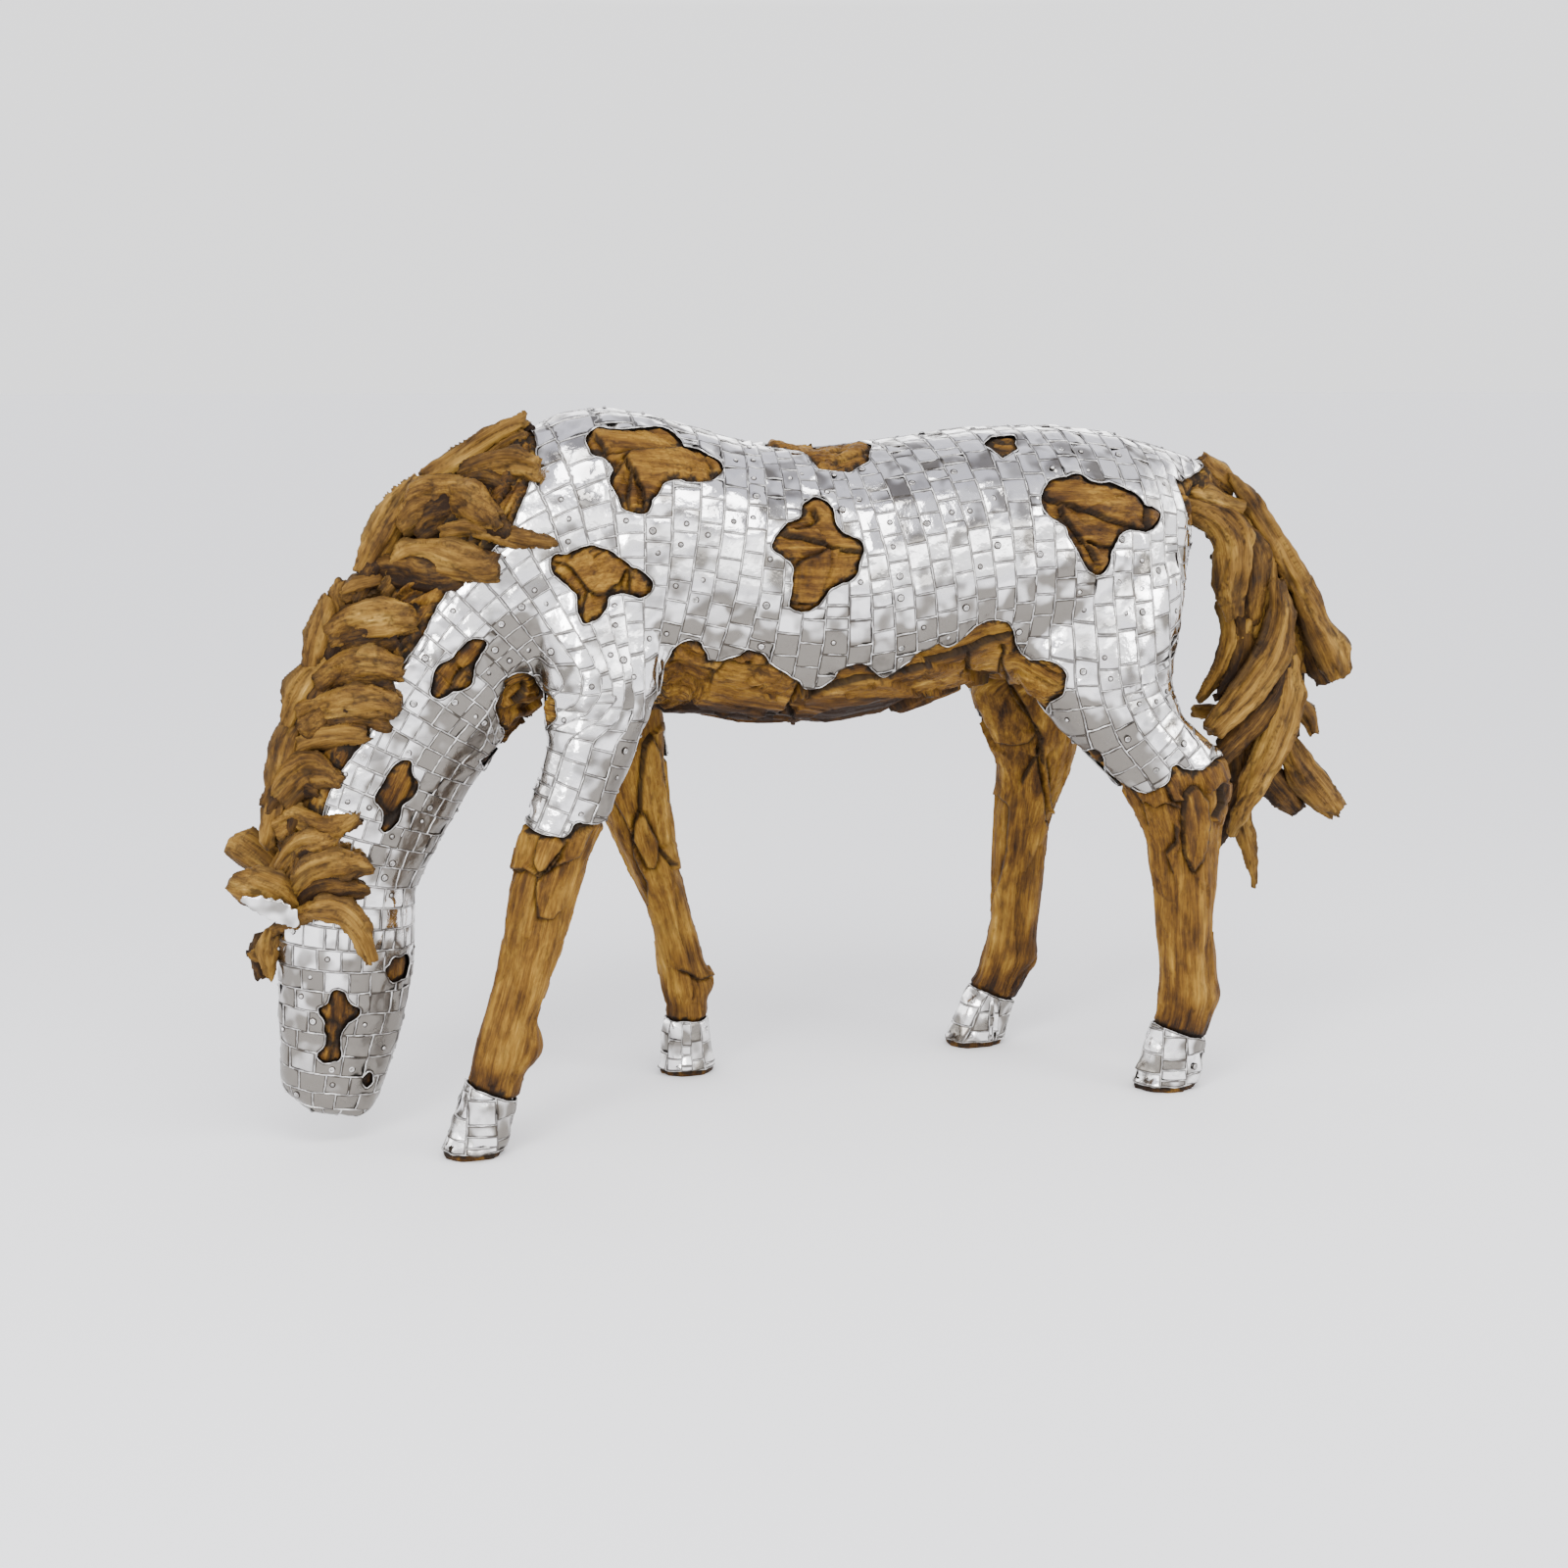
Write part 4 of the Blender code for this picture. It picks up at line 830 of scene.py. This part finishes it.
class Welded:
    """Plates and weld beads laid over a surface."""

    def __init__(self, seed, radius_at, around=None):
        self.seed = seed
        self.radius_at = radius_at
        self.around = around
        self.plates = {}
        self.columns = []
        self.crosses = []
        self.rims = []

    def lay(self, rows, triangles):
        for triangle in triangles:
            corners = [rows[k] for k in triangle]
            if max(c[DEPTH] for c in corners) <= 0:
                continue
            if min(c[DEPTH] for c in corners) < 0:
                _, corners, cut = split(corners, [c[DEPTH] for c in corners], 0.0)
                self.keep(self.rims, cut)
            turns = [c[TURN] for c in corners]
            if max(turns) - min(turns) > math.pi:
                corners = [c + FULL_TURN if c[TURN] < 0 else c for c in corners]
                corners, above, cut = split(corners, [c[TURN] for c in corners], math.pi)
                self.keep(self.crosses, cut)
                self.lay_rows([c - FULL_TURN for c in above])
            self.lay_rows(corners)

    def keep(self, cuts, cut):
        if len(cut) == 2:
            cuts.append(cut)

    def lay_rows(self, corners):
        if len(corners) < 3:
            return
        row = math.floor(min(c[ALONG] for c in corners) / PLATE_WIDTH)
        while len(corners) >= 3:
            upper = (row + 1) * PLATE_WIDTH
            strip, corners, cut = split(corners, [c[ALONG] for c in corners], upper)
            self.keep(self.columns, cut)
            self.lay_strip(strip, row)
            row += 1

    def lay_strip(self, strip, row):
        if len(strip) < 3:
            return
        radius = self.radius_at(row * PLATE_WIDTH)
        shown_row = row % self.around if self.around else row
        lowest = min(radius * c[TURN] + c[DROP] for c in strip)
        number = math.floor(lowest / PLATE_HEIGHT) - 1
        while joint_level(shown_row, number + 1) <= lowest:
            number += 1
        while len(strip) >= 3:
            low, high = joint_level(shown_row, number), joint_level(shown_row, number + 1)
            piece, strip, cut = split(strip, [radius * c[TURN] + c[DROP] for c in strip], high)
            self.keep(self.crosses, cut)
            parts = [(piece, low, high, 0)]
            if chance(shown_row, number, 9 + self.seed)[1] < HALVED:
                middle = low + (high - low) * 0.5
                first, second, cut = split(piece, [radius * c[TURN] + c[DROP] for c in piece], middle)
                self.keep(self.crosses, cut)
                parts = [(first, low, middle, 1), (second, middle, high, 2)]
            for part, start, end, half in parts:
                if len(part) >= 3:
                    plate = self.plates.setdefault((shown_row, number, half), [])
                    plate.append((part, row * PLATE_WIDTH, radius, start, end))
            number += 1


def plate_tone(pick, spot, rise, on_hoof):
    """How light the steel is, with painted shade: darker where it leans down, low on the head and under the
    neck, standing in for darker reflections there; also darker on hooves.
    """
    leaning = float(eased((0.02 - rise) / 0.42))
    low_head = float(eased((0.47 - spot[2]) / 0.20))
    neck = float(eased((-0.42 - spot[0]) / 0.15)) * float(eased((0.08 - rise) / 0.4))
    shaded = HOOF_SHADE if on_hoof else LOW_HEAD_SHADE * low_head + NECK_SHADE * neck
    return pick * TONE_SPREAD + LEAST_TONE - LEANING_SHADE * leaning - shaded


def plate_mesh(name, layers):
    """The plates as one mesh, each tilted and dented by itself. Also each plate's middle."""
    points, faces, tones, edges, picks = [], [], [], [], []
    middles = []
    for welded in layers:
        for (row, number, half), parts in welded.plates.items():
            pick = chance(row * 3 + half, number, 20 + welded.seed)
            lean = chance(row, number * 3 + half, 31 + welded.seed)
            on_hoof = welded.around is not None
            crumpled = half or on_hoof or pick[1] < CRUMPLED
            index = {}
            best = (0.0, None, None)
            for part, left, radius, start, end in parts:
                face = []
                for corner in part:
                    key = tuple(np.round(corner[POINT], 5))
                    if key not in index:
                        u = corner[ALONG] - left
                        v = radius * corner[TURN] + corner[DROP]
                        margins = (min(u, PLATE_WIDTH - u), min(v - start, end - v), corner[DEPTH])
                        margins = [max(0.0, margin) for margin in margins]
                        inside = min(margins)
                        crown = float(eased(inside / PLATE_EDGE))
                        spot = Vector(corner[POINT])
                        near_rim = 1 - float(eased((corner[DEPTH] - 0.01) / 0.05))
                        crumple = 1 + 1.8 * near_rim + (2.5 if crumpled else 0)
                        tilt = (u - PLATE_WIDTH / 2) * (lean[0] - 0.5)
                        tilt += (v - (start + end) / 2) * (lean[1] - 0.5)
                        dent = noise.noise(spot * 34 + Vector((number, row, 0)) * 5)
                        lift = PLATE_LIFT + PLATE_CROWN * (crown - 1) + PLATE_TILT * tilt * 2
                        lift += PLATE_DENT * dent * crumple
                        index[key] = len(points)
                        points.append(corner[POINT] + corner[NORMAL] * lift)
                        # The stored tone holds each plate's own random tone and the painted shade that
                        # plate_tone adds.
                        tones.append(plate_tone(pick[0], spot, corner[NORMAL][2], on_hoof))
                        edges.append(margins)
                        picks.append(pick)
                        if inside > best[0]:
                            best = (inside, points[-1], corner[NORMAL])
                    if not face or face[-1] != index[key]:
                        face.append(index[key])
                if face[0] == face[-1]:
                    face.pop()
                if len(face) >= 3:
                    faces.append(face)
            middles.append((chance(row, number + half, 50 + welded.seed), *best))
    mesh = bpy.data.meshes.new(name)
    mesh.from_pydata(points, [], faces)
    mesh.validate()
    store(mesh, "tone", tones)
    store(mesh, "edge", np.array(edges), "FLOAT_VECTOR")
    store(mesh, "pick", np.array([tuple(p) for p in picks]), "FLOAT_VECTOR")
    return mesh, middles


def lines_of(cuts):
    """Cuts joined end to end into lines of corners."""
    ends = {}
    whole = []
    seen = set()
    for first, second in cuts:
        a, b = (tuple(np.round(c[POINT], 5)) for c in (first, second))
        if a == b or (a, b) in seen or (b, a) in seen:
            continue
        seen.add((a, b))
        whole.append(((a, first), (b, second)))
        for key in (a, b):
            ends.setdefault(key, []).append(len(whole) - 1)
    used = [False] * len(whole)
    lines = []
    starts = [k for k, at in ends.items() if len(at) != 2] + list(ends)
    for start in starts:
        for first in ends[start]:
            if used[first]:
                continue
            key, number, line = start, first, []
            while number is not None:
                used[number] = True
                near, far = whole[number]
                if near[0] != key:
                    near, far = far, near
                line.append(near[1])
                key = far[0]
                following = [n for n in ends[key] if not used[n]]
                number = following[0] if len(ends[key]) == 2 and following else None
            line.append(far[1])
            lines.append(line)
    return lines


# A bead's section: how far across and how far up, in shares of its size, and how bright the metal is,
# darkest at the foot as scorch together with painted shadow.
BEAD_SECTION = ((-1.25, -0.75, 0.0), (-0.62, 0.55, 0.5), (0.0, 1.0, 1.0), (0.62, 0.55, 0.5),
                (1.25, -0.75, 0.0))


def bead_mesh(name, sets):
    """Weld beads along lines: a rounded ridge whose width and height waver like a hand's weld."""
    points, faces, ridge = [], [], []
    for cuts, size, seed in sets:
        for line in lines_of(cuts):
            rows = np.array([corner[:6] for corner in line])
            run = np.concatenate([[0], np.cumsum(np.linalg.norm(np.diff(rows[:, :3], axis=0), axis=1))])
            if run[-1] < 2 * size:
                continue
            count = max(2, int(run[-1] / BEAD_STEP) + 1)
            at = np.linspace(0, run[-1], count)
            rows = np.stack([np.interp(at, run, rows[:, k]) for k in range(6)], axis=1)
            ahead = np.gradient(rows[:, :3], axis=0)
            across = np.cross(ahead, rows[:, 3:])
            across /= np.maximum(np.linalg.norm(across, axis=1), 1e-9)[:, None]
            base = len(points)
            for k in range(count):
                spot = Vector(rows[k, :3])
                waver = noise.noise_vector(spot * 90 + Vector((seed, 0, 0)))
                swell = size * (1 + 0.32 * waver[0])
                if k in (0, count - 1):
                    swell *= 1.25
                middle = rows[k, :3] + rows[k, 3:] * (PLATE_LIFT - 0.0004) + across[k] * waver[1] * 0.0014
                for out, up, bright in BEAD_SECTION:
                    points.append(middle + across[k] * out * swell + rows[k, 3:] * up * swell)
                    ridge.append(bright)
            width = len(BEAD_SECTION)
            for k in range(count - 1):
                for j in range(width - 1):
                    a = base + k * width + j
                    faces.append((a, a + 1, a + width + 1, a + width))
    mesh = bpy.data.meshes.new(name)
    mesh.from_pydata(points, [], faces)
    store(mesh, "ridge", ridge)
    return mesh


def mean_radius(s):
    return float(np.interp(s, spine_runs, spine_points[:, 2]))


def no_radius(s):
    return 0.0


def hoof_rows(points, triangles):
    """Rows of the hooves' faces: plates stand side by side round each hoof's middle."""
    rows = np.column_stack([points, skin_normals, np.zeros((len(points), 3)), skin_depth])
    placed = []
    for side, leg_y, line in LEGS.values():
        middle = (line[-1][1], leg_y)
        for t in triangles:
            if abs(points[t[0]][0] - middle[0]) < 0.14 and points[t[0]][1] * side > 0:
                corners = [rows[k].copy() for k in t]
                for c in corners:
                    angle = math.atan2(c[1] - middle[1], c[0] - middle[0]) / (2 * math.pi) + 0.5
                    c[ALONG] = angle * HOOF_PLATES * PLATE_WIDTH
                    c[DROP] = c[2] * 1.05
                if max(c[ALONG] for c in corners) - min(c[ALONG] for c in corners) > 3 * PLATE_WIDTH:
                    for c in corners:
                        c[ALONG] += HOOF_PLATES * PLATE_WIDTH if c[ALONG] < 3 * PLATE_WIDTH else 0
                placed.append(corners)
    return placed


skin.calc_loop_triangles()
skin_triangles = [tuple(t.vertices) for t in skin.loop_triangles]
unevenness = [UNEVEN * noise.noise(Vector(p) * 9) for p in skin_points]
skin_rows = np.column_stack([skin_points, skin_normals, skin_along + unevenness, skin_turn,
                             skin_drop + unevenness, skin_depth])
coat = Welded(0, mean_radius)
on_hoof = (skin_points[:, 2] < HOOF_HEIGHT) & (skin_on_leg > 0.5)
coat.lay(skin_rows, [t for t in skin_triangles if not on_hoof[t[0]]])
hoof_corners = hoof_rows(skin_points, [t for t in skin_triangles if on_hoof[t[0]]])
hooves = Welded(4, no_radius, HOOF_PLATES)
hooves.lay([c for corners in hoof_corners for c in corners], [(3 * k, 3 * k + 1, 3 * k + 2)
                                                             for k in range(len(hoof_corners))])
coat_mesh, plate_middles = plate_mesh("coat_plates", (coat, hooves))

STEEL_DARK = (0.20, 0.185, 0.165)
STEEL_LIGHT = (0.95, 0.94, 0.94)
# Blackened steel for grime and scorch; the same colour paints the shadow beside and under the welds.
STEEL_BLACKENED_AND_SHADOW = (0.055, 0.047, 0.040)


def stainless():
    """Polished plate: each piece a little lighter or darker, with painted shade in its stored tone and a
    painted gleam within it, smudged, and darkened beside its welds, scorch together with painted shadow.
    """
    made, shade, feed = material("polished_plate", metallic=1.0)
    place_in = shade.node("TexCoord", output=3)
    clouds = shade.noise(place_in, 14.0, 3.0, 0.6)
    fine = shade.noise(place_in, 220.0, 2.0, 0.6)
    own_place = shade.node("VectorMath", {"operation": "MULTIPLY_ADD"},
                           {0: shade.stored("pick", output=1), 1: (9, 9, 9), 2: place_in})
    # A painted gleam: noise within each plate lightens and darkens it, standing in for the reflections of a
    # polished plate.
    painted_gleam = shade.noise(own_place, 20.0, 1.0).between(0.35, 0.65)
    tone = shade.stored("tone") * 0.85 + clouds * 0.30 + painted_gleam * 0.75 - 0.42
    colour = shade.mix(tone.between(0.0, 0.85), STEEL_DARK, STEEL_LIGHT)
    grime = clouds.between(0.60, 0.74) * 0.35
    colour = shade.mix(grime, colour, STEEL_BLACKENED_AND_SHADOW)
    edge = shade.stored("edge", output=1)
    along, around, from_rim = (shade.node("SeparateXYZ", None, {0: edge}, output=k) for k in range(3))
    margin = shade.math("MINIMUM", shade.math("MINIMUM", along, around), from_rim)
    # Darker beside the welds and the coat's rim: scorch together with a painted shadow along the beads.
    scorch_and_shadow = 1 - margin.between(0.0022, 0.0041)
    colour = shade.mix(scorch_and_shadow * 0.9, colour, STEEL_BLACKENED_AND_SHADOW)
    hammered = shade.noise(place_in, 70.0, 2.0, 0.5)
    dull = 1 - shade.stored("tone").between(0.0, 0.6)
    feed(Base_Color=colour, Roughness=0.06 + clouds * 0.12 + scorch_and_shadow * 0.25 + dull * 0.16,
         Normal=shade.bump(hammered * 0.8 + fine * 0.12, 0.0020, 0.6))
    return made


def weld_steel():
    """The bead's own metal, rippled, in full tone on its ridge and darkened at its foot: scorch together
    with painted shadow.
    """
    made, shade, feed = material("weld_bead", metallic=1.0)
    place_in = shade.node("TexCoord", output=3)
    ripples = shade.noise(place_in, 420.0, 2.0, 0.6)
    patches = shade.noise(place_in, 60.0, 2.0, 0.5)
    colour = shade.mix(patches.between(0.35, 0.65), (0.26, 0.25, 0.24), (0.62, 0.61, 0.60))
    # Darker at the bead's foot: scorch together with painted shadow.
    colour = shade.mix(shade.stored("ridge").between(0.0, 0.35), STEEL_BLACKENED_AND_SHADOW, colour)
    feed(Base_Color=colour, Roughness=0.24 + ripples * 0.2, Normal=shade.bump(ripples, 0.0008, 0.6))
    return made


plate_steel = stainless()
bead_steel = weld_steel()
coat_mesh.materials.append(plate_steel)
place("coat_plates", coat_mesh, "stainless_steel", *CLAD)
coat_beads = bead_mesh("coat_beads", (
    (coat.columns, BEAD, 1), (coat.crosses, BEAD * 0.92, 2), (coat.rims, RIM_BEAD, 3),
    (hooves.columns, BEAD, 4), (hooves.crosses, BEAD, 5), (hooves.rims, RIM_BEAD, 6)))
coat_beads.materials.append(bead_steel)
place("coat_beads", coat_beads, "stainless_steel")

# Rivets.
# Here and there a plate is plug welded to the wood's screws: a ring or a small dome, in a scorched spot;
# their foot and the ring's hollow are darker, scorch together with painted shade.
RINGED = 0.10
DOMED = 0.24
LEAST_INSIDE = 0.012
RING = ((0.0085, 0.0002, 0.0), (0.0062, 0.0006, 0.0), (0.0058, 0.0016, 0.6), (0.0048, 0.0024, 1.0),
        (0.0036, 0.0020, 0.7), (0.0026, 0.0008, 0.0), (0.0010, 0.0008, 0.6))
DOME = ((0.0064, 0.0002, 0.0), (0.0042, 0.0004, 0.0), (0.0036, 0.0020, 0.7), (0.0020, 0.0034, 1.0),
        (0.0007, 0.0038, 1.0))


def turned(points, faces, ridge, centre, normal, profile, sides):
    """Adds a profile of (radius, height, brightness) turned round a normal."""
    normal = Vector(normal)
    right = normal.orthogonal().normalized()
    ahead = normal.cross(right)
    base = len(points)
    for radius, height, bright in profile:
        for k in range(sides):
            angle = 2 * math.pi * k / sides
            points.append(Vector(centre) + normal * height
                          + (right * math.cos(angle) + ahead * math.sin(angle)) * radius)
            ridge.append(bright)
    for j in range(len(profile) - 1):
        for k in range(sides):
            a = base + j * sides + k
            b = base + j * sides + (k + 1) % sides
            faces.append((a, b, b + sides, a + sides))
    faces.append([base + (len(profile) - 1) * sides + k for k in range(sides)])


def rivet_mesh(name, middles):
    points, faces, ridge = [], [], []
    for pick, inside, point, normal in middles:
        if inside < LEAST_INSIDE or pick[0] > DOMED:
            continue
        shift = (Vector(pick) - Vector((0.5, 0.5, 0.5))) * 0.014
        shift -= Vector(normal) * shift.dot(Vector(normal))
        profile = RING if pick[0] < RINGED else DOME
        turned(points, faces, ridge, Vector(point) + shift, normal, profile, 10)
    mesh = bpy.data.meshes.new(name)
    mesh.from_pydata(points, [], faces)
    store(mesh, "ridge", ridge)
    mesh.materials.append(bead_steel)
    return mesh


place("coat_rivets", rivet_mesh("coat_rivets", plate_middles), "stainless_steel")

# Mane, ears and tail.
# Slats split from driftwood and screwed to the crest, the poll and the dock: worn smooth, cracked along the
# grain, and broken at their ends.
SLAT_GRID = 0.0046
SLAT_SMOOTHING = 1
SLAT_GROWTH = {"mane": 0.0045, "tail": 0.0035, "ear_": 0.0015}
STRIP = (0.20, 0.028, 0.030)
STRIP_STEP = 0.0050
STRIP_JOINT = 0.0030
SLAT_EDGE = 0.70
LUMPS = 0.0055
BROKEN = 0.014
UNDER_SIZE = 0.92
UNDER_GRID = 0.0075
UNDER_SHADE = 0.9
MANE_INWARD = (0.0, 0.016, -0.004)
TAIL_INWARD = (0.0, 0.010, 0.0)


def slat_mesh(name, seed, grid=SLAT_GRID):
    """A slat's solid with ridges, cracks and broken ends along its own bend."""
    mesh = fused(name, grid, SLAT_SMOOTHING, SLAT_GROWTH[name[:4]])
    points, normals = corners_of(mesh)
    middle = points.mean(axis=0)
    _, _, axes = np.linalg.svd(points - middle, full_matrices=False)
    local = (points - middle) @ axes.T
    bend = np.polyfit(local[:, 0], local[:, 1], 3)
    across = local[:, 1] - np.polyval(bend, local[:, 0])
    thick = local[:, 2] - np.polyval(np.polyfit(local[:, 0], local[:, 2], 2), local[:, 0])
    grain = np.stack([local[:, 0], across, thick], axis=1) + np.array([seed * 0.7, seed * 0.31, 0])
    half = np.abs(local[:, 0]).max()
    half_width = np.percentile(np.abs(across), 96)
    joint, tone = np.empty(len(points)), np.empty(len(points))
    rough = 0.35 if name.startswith("ear") else 1.0
    for k in range(len(points)):
        point, g = Vector(points[k]), grain[k]
        slope, strip_tone, gap = slabs(g, STRIP, seed)
        edge = 1 - float(eased(gap / 0.16))
        lumps = noise.noise(point * 17) + 0.5 * noise.noise(point * 41)
        points[k] += normals[k] * (slope * STRIP_STEP - edge * STRIP_JOINT + LUMPS * lumps) * rough
        end = float(eased((abs(local[k, 0]) / half - 0.72) / 0.28))
        jag = noise.noise(Vector((seed, g[1] * 70, g[2] * 50))) * BROKEN * end
        points[k] += axes[0] * jag * math.copysign(1, local[k, 0]) * rough
        # Darker towards the slat's side edges: burnt edges together with painted shade.
        rim = float(eased((abs(across[k]) / half_width - SLAT_EDGE) / (1 - SLAT_EDGE)))
        joint[k] = max(edge ** 2 * 0.6, 0.65 * rim, 0.5 * end * (noise.noise(point * 35) + 0.5))
        tone[k] = 0.30 * chance(seed, 3)[0] + 0.50 * strip_tone + 0.10
    mesh.vertices.foreach_set("co", points.ravel())
    store(mesh, "grain", grain, "FLOAT_VECTOR")
    store(mesh, "slab", tone)
    store(mesh, "joint", joint)
    store(mesh, "rim", np.full(len(points), 1.0))
    store(mesh, "planed", np.zeros(len(points)))
    return mesh


def between_slats(name, start, inward, seed):
    """Slats that fill the gaps of a row: each lies under two neighbours, between them and deeper in, and its
    wood is darker by a painted shade for lying under them.
    """
    row = [n for n in slat_nodes if n.startswith(start)]
    middles = {n: np.mean([v.co[:] for v in nodes[n].data.vertices], axis=0) for n in row}
    bm = bmesh.new()
    grains, tones, joints = [], [], []
    for k, node in enumerate(row):
        below = [n for n in row if middles[n][2] < middles[node][2] - 0.004]
        if not below:
            continue
        near = min(below, key=lambda n: np.linalg.norm(middles[n] - middles[node]))
        step = (middles[near] - middles[node]) / 2 + np.array(inward) * math.copysign(1, -middles[node][1])
        mesh = slat_mesh(node, seed + k, UNDER_GRID)
        for vertex in mesh.vertices:
            vertex.co = Vector(middles[node] + (np.array(vertex.co) - middles[node]) * UNDER_SIZE + step)
        grain = np.empty(len(mesh.vertices) * 3, np.float32)
        mesh.attributes["grain"].data.foreach_get("vector", grain)
        grains.append(grain)
        for values, key in ((tones, "slab"), (joints, "joint")):
            held = np.empty(len(mesh.vertices), np.float32)
            mesh.attributes[key].data.foreach_get("value", held)
            values.append(held)
        bm.from_mesh(mesh)
        bpy.data.meshes.remove(mesh)
    under = bpy.data.meshes.new(name)
    bm.to_mesh(under)
    bm.free()
    for key in ("grain", "slab", "joint", "rim", "planed"):
        if key in under.attributes:
            under.attributes.remove(under.attributes[key])
    store(under, "grain", np.concatenate(grains), "FLOAT_VECTOR")
    # Painted shade: the under-slats are darker by UNDER_SHADE.
    store(under, "slab", np.concatenate(tones) - UNDER_SHADE)
    store(under, "joint", np.concatenate(joints))
    store(under, "rim", np.full(len(under.vertices), 1.0))
    store(under, "planed", np.zeros(len(under.vertices)))
    return under


driftwood = root_wood("driftwood", (
    (0.05, (0.014, 0.006, 0.002)), (0.30, (0.070, 0.033, 0.006)), (0.52, (0.152, 0.078, 0.014)),
    (0.76, (0.255, 0.145, 0.029)), (1.0, (0.430, 0.280, 0.080))))
for seed, node in enumerate(slat_nodes):
    slat = slat_mesh(node, seed)
    slat.materials.append(driftwood)
    place("worn_" + node, slat, "teak_driftwood", node)

UNDER = (("mane_under", "mane_lock", MANE_INWARD), ("tail_under", "tail_strand", TAIL_INWARD))
for name, start, inward in UNDER:
    filled = between_slats(name, start, inward, 60)
    filled.materials.append(driftwood)
    place(name, filled, "teak_driftwood")

# The near ear's lower half is one dented leaf of sheet steel, wider towards the head.
EAR_GRID = 0.0035
EAR_WIDER = 0.018
EAR_DENT = 0.004
EAR_FORWARD = 0.007
EAR_TONE = 0.50

ear_mesh = fused("ear_plate_left", EAR_GRID, 1, 0.0)
ear_mesh.name = "ear_leaf"
ear_points, ear_normals = corners_of(ear_mesh)
ear_line = np.polyfit(ear_points[:, 0], ear_points[:, 2], 1)
for k in range(len(ear_points)):
    headward = float(eased((ear_points[k][0] - ear_points[:, 0].min()) / 0.10))
    above = max(0.0, ear_points[k][2] - np.polyval(ear_line, ear_points[k][0]))
    ear_points[k][2] += EAR_WIDER * float(eased(above / 0.005)) * headward
    ear_points[k][1] -= EAR_FORWARD * float(eased(above / 0.01))
    ear_points[k] += ear_normals[k] * EAR_DENT * noise.noise(Vector(ear_points[k]) * 24)
ear_mesh.vertices.foreach_set("co", ear_points.ravel())
store(ear_mesh, "tone", np.full(len(ear_points), EAR_TONE))
store(ear_mesh, "edge", np.full((len(ear_points), 3), 1.0), "FLOAT_VECTOR")
store(ear_mesh, "pick", np.zeros((len(ear_points), 3)), "FLOAT_VECTOR")
ear_mesh.materials.append(plate_steel)
place("ear_leaf", ear_mesh, "stainless_steel", "ear_plate_left")

# The setting.
# A pale floor as far as one sees, under a soft uneven sky, and three large soft lamps.
FLOOR_SIZE = 600.0
FLOOR_TONE = (0.92, 0.92, 0.925)

floor_mesh = bpy.data.meshes.new("floor")
reach = FLOOR_SIZE / 2
floor_mesh.from_pydata([(-reach, -reach, 0), (reach, -reach, 0), (reach, reach, 0), (-reach, reach, 0)], [],
                       [(0, 1, 2, 3)])
floor = bpy.data.objects.new("floor", floor_mesh)
bpy.context.scene.collection.objects.link(floor)
paper, _, _ = material("paper", Base_Color=(*FLOOR_TONE, 1.0), Roughness=0.9)
floor_mesh.materials.append(paper)

# The sky is as bright as the floor where they meet, white above that and grey overhead, so that the horse's
# back reflects less light than its sides. It is uneven, so that plates at different tilts differ.
SKY = ((0.0, (0.287, 0.287, 0.292)), (0.17, (0.30, 0.30, 0.304)), (0.25, (1.00, 1.00, 1.00)),
       (0.40, (0.80, 0.80, 0.81)), (0.62, (0.22, 0.22, 0.24)), (1.0, (0.13, 0.13, 0.15)))
SKY_GREY = (0.16, 0.16, 0.17)
SKY_STRENGTH = 6.0
SKY_PATCHES = 2.2

world = bpy.data.worlds.new("studio")
world.use_nodes = True
sky = Shade(world.node_tree)
height = sky.node("SeparateXYZ", None, {0: sky.node("TexCoord")}, output=2)
tint = sky.node("ValToRGB", {"stops": SKY}, {0: height})
patches = sky.noise(sky.node("TexCoord"), SKY_PATCHES, 1.0)
shaded = height.between(0.18, 0.26) * (1 - patches.between(0.40, 0.62))
tint = sky.mix(shaded * 0.60, tint, SKY_GREY)
background = world.node_tree.nodes["Background"]
world.node_tree.links.new(tint.socket, background.inputs["Color"])
background.inputs["Strength"].default_value = SKY_STRENGTH
bpy.context.scene.world = world

LIGHTS = {
    "overhead": ((-0.6, -2.0, 4.2), (3.0, 1.6), 120),
    "front": ((-3.8, -3.6, 2.4), (1.4, 2.4), 110),
    "rear": ((3.6, -2.8, 2.4), (1.2, 2.2), 60),
}
for name, (spot, size, power) in LIGHTS.items():
    light = bpy.data.lights.new(name, "AREA")
    light.shape = "RECTANGLE"
    light.size, light.size_y = size
    light.energy = power
    lamp = bpy.data.objects.new(name, light)
    lamp.location = spot
    lamp.rotation_euler = (Vector((0, 0, 0.9)) - Vector(spot)).to_track_quat("-Z", "Y").to_euler()
    bpy.context.scene.collection.objects.link(lamp)

camera = bpy.data.cameras.new("camera")
camera.sensor_width = 36.0
camera.lens = LENS_PIXELS / FRAME_SIZE * camera.sensor_width
viewer = bpy.data.objects.new("camera", camera)
viewer.location = CAMERA_PLACE
viewer.rotation_euler = (math.pi / 2 - CAMERA_PITCH, 0, CAMERA_AZIMUTH)
bpy.context.scene.collection.objects.link(viewer)
bpy.context.scene.camera = viewer
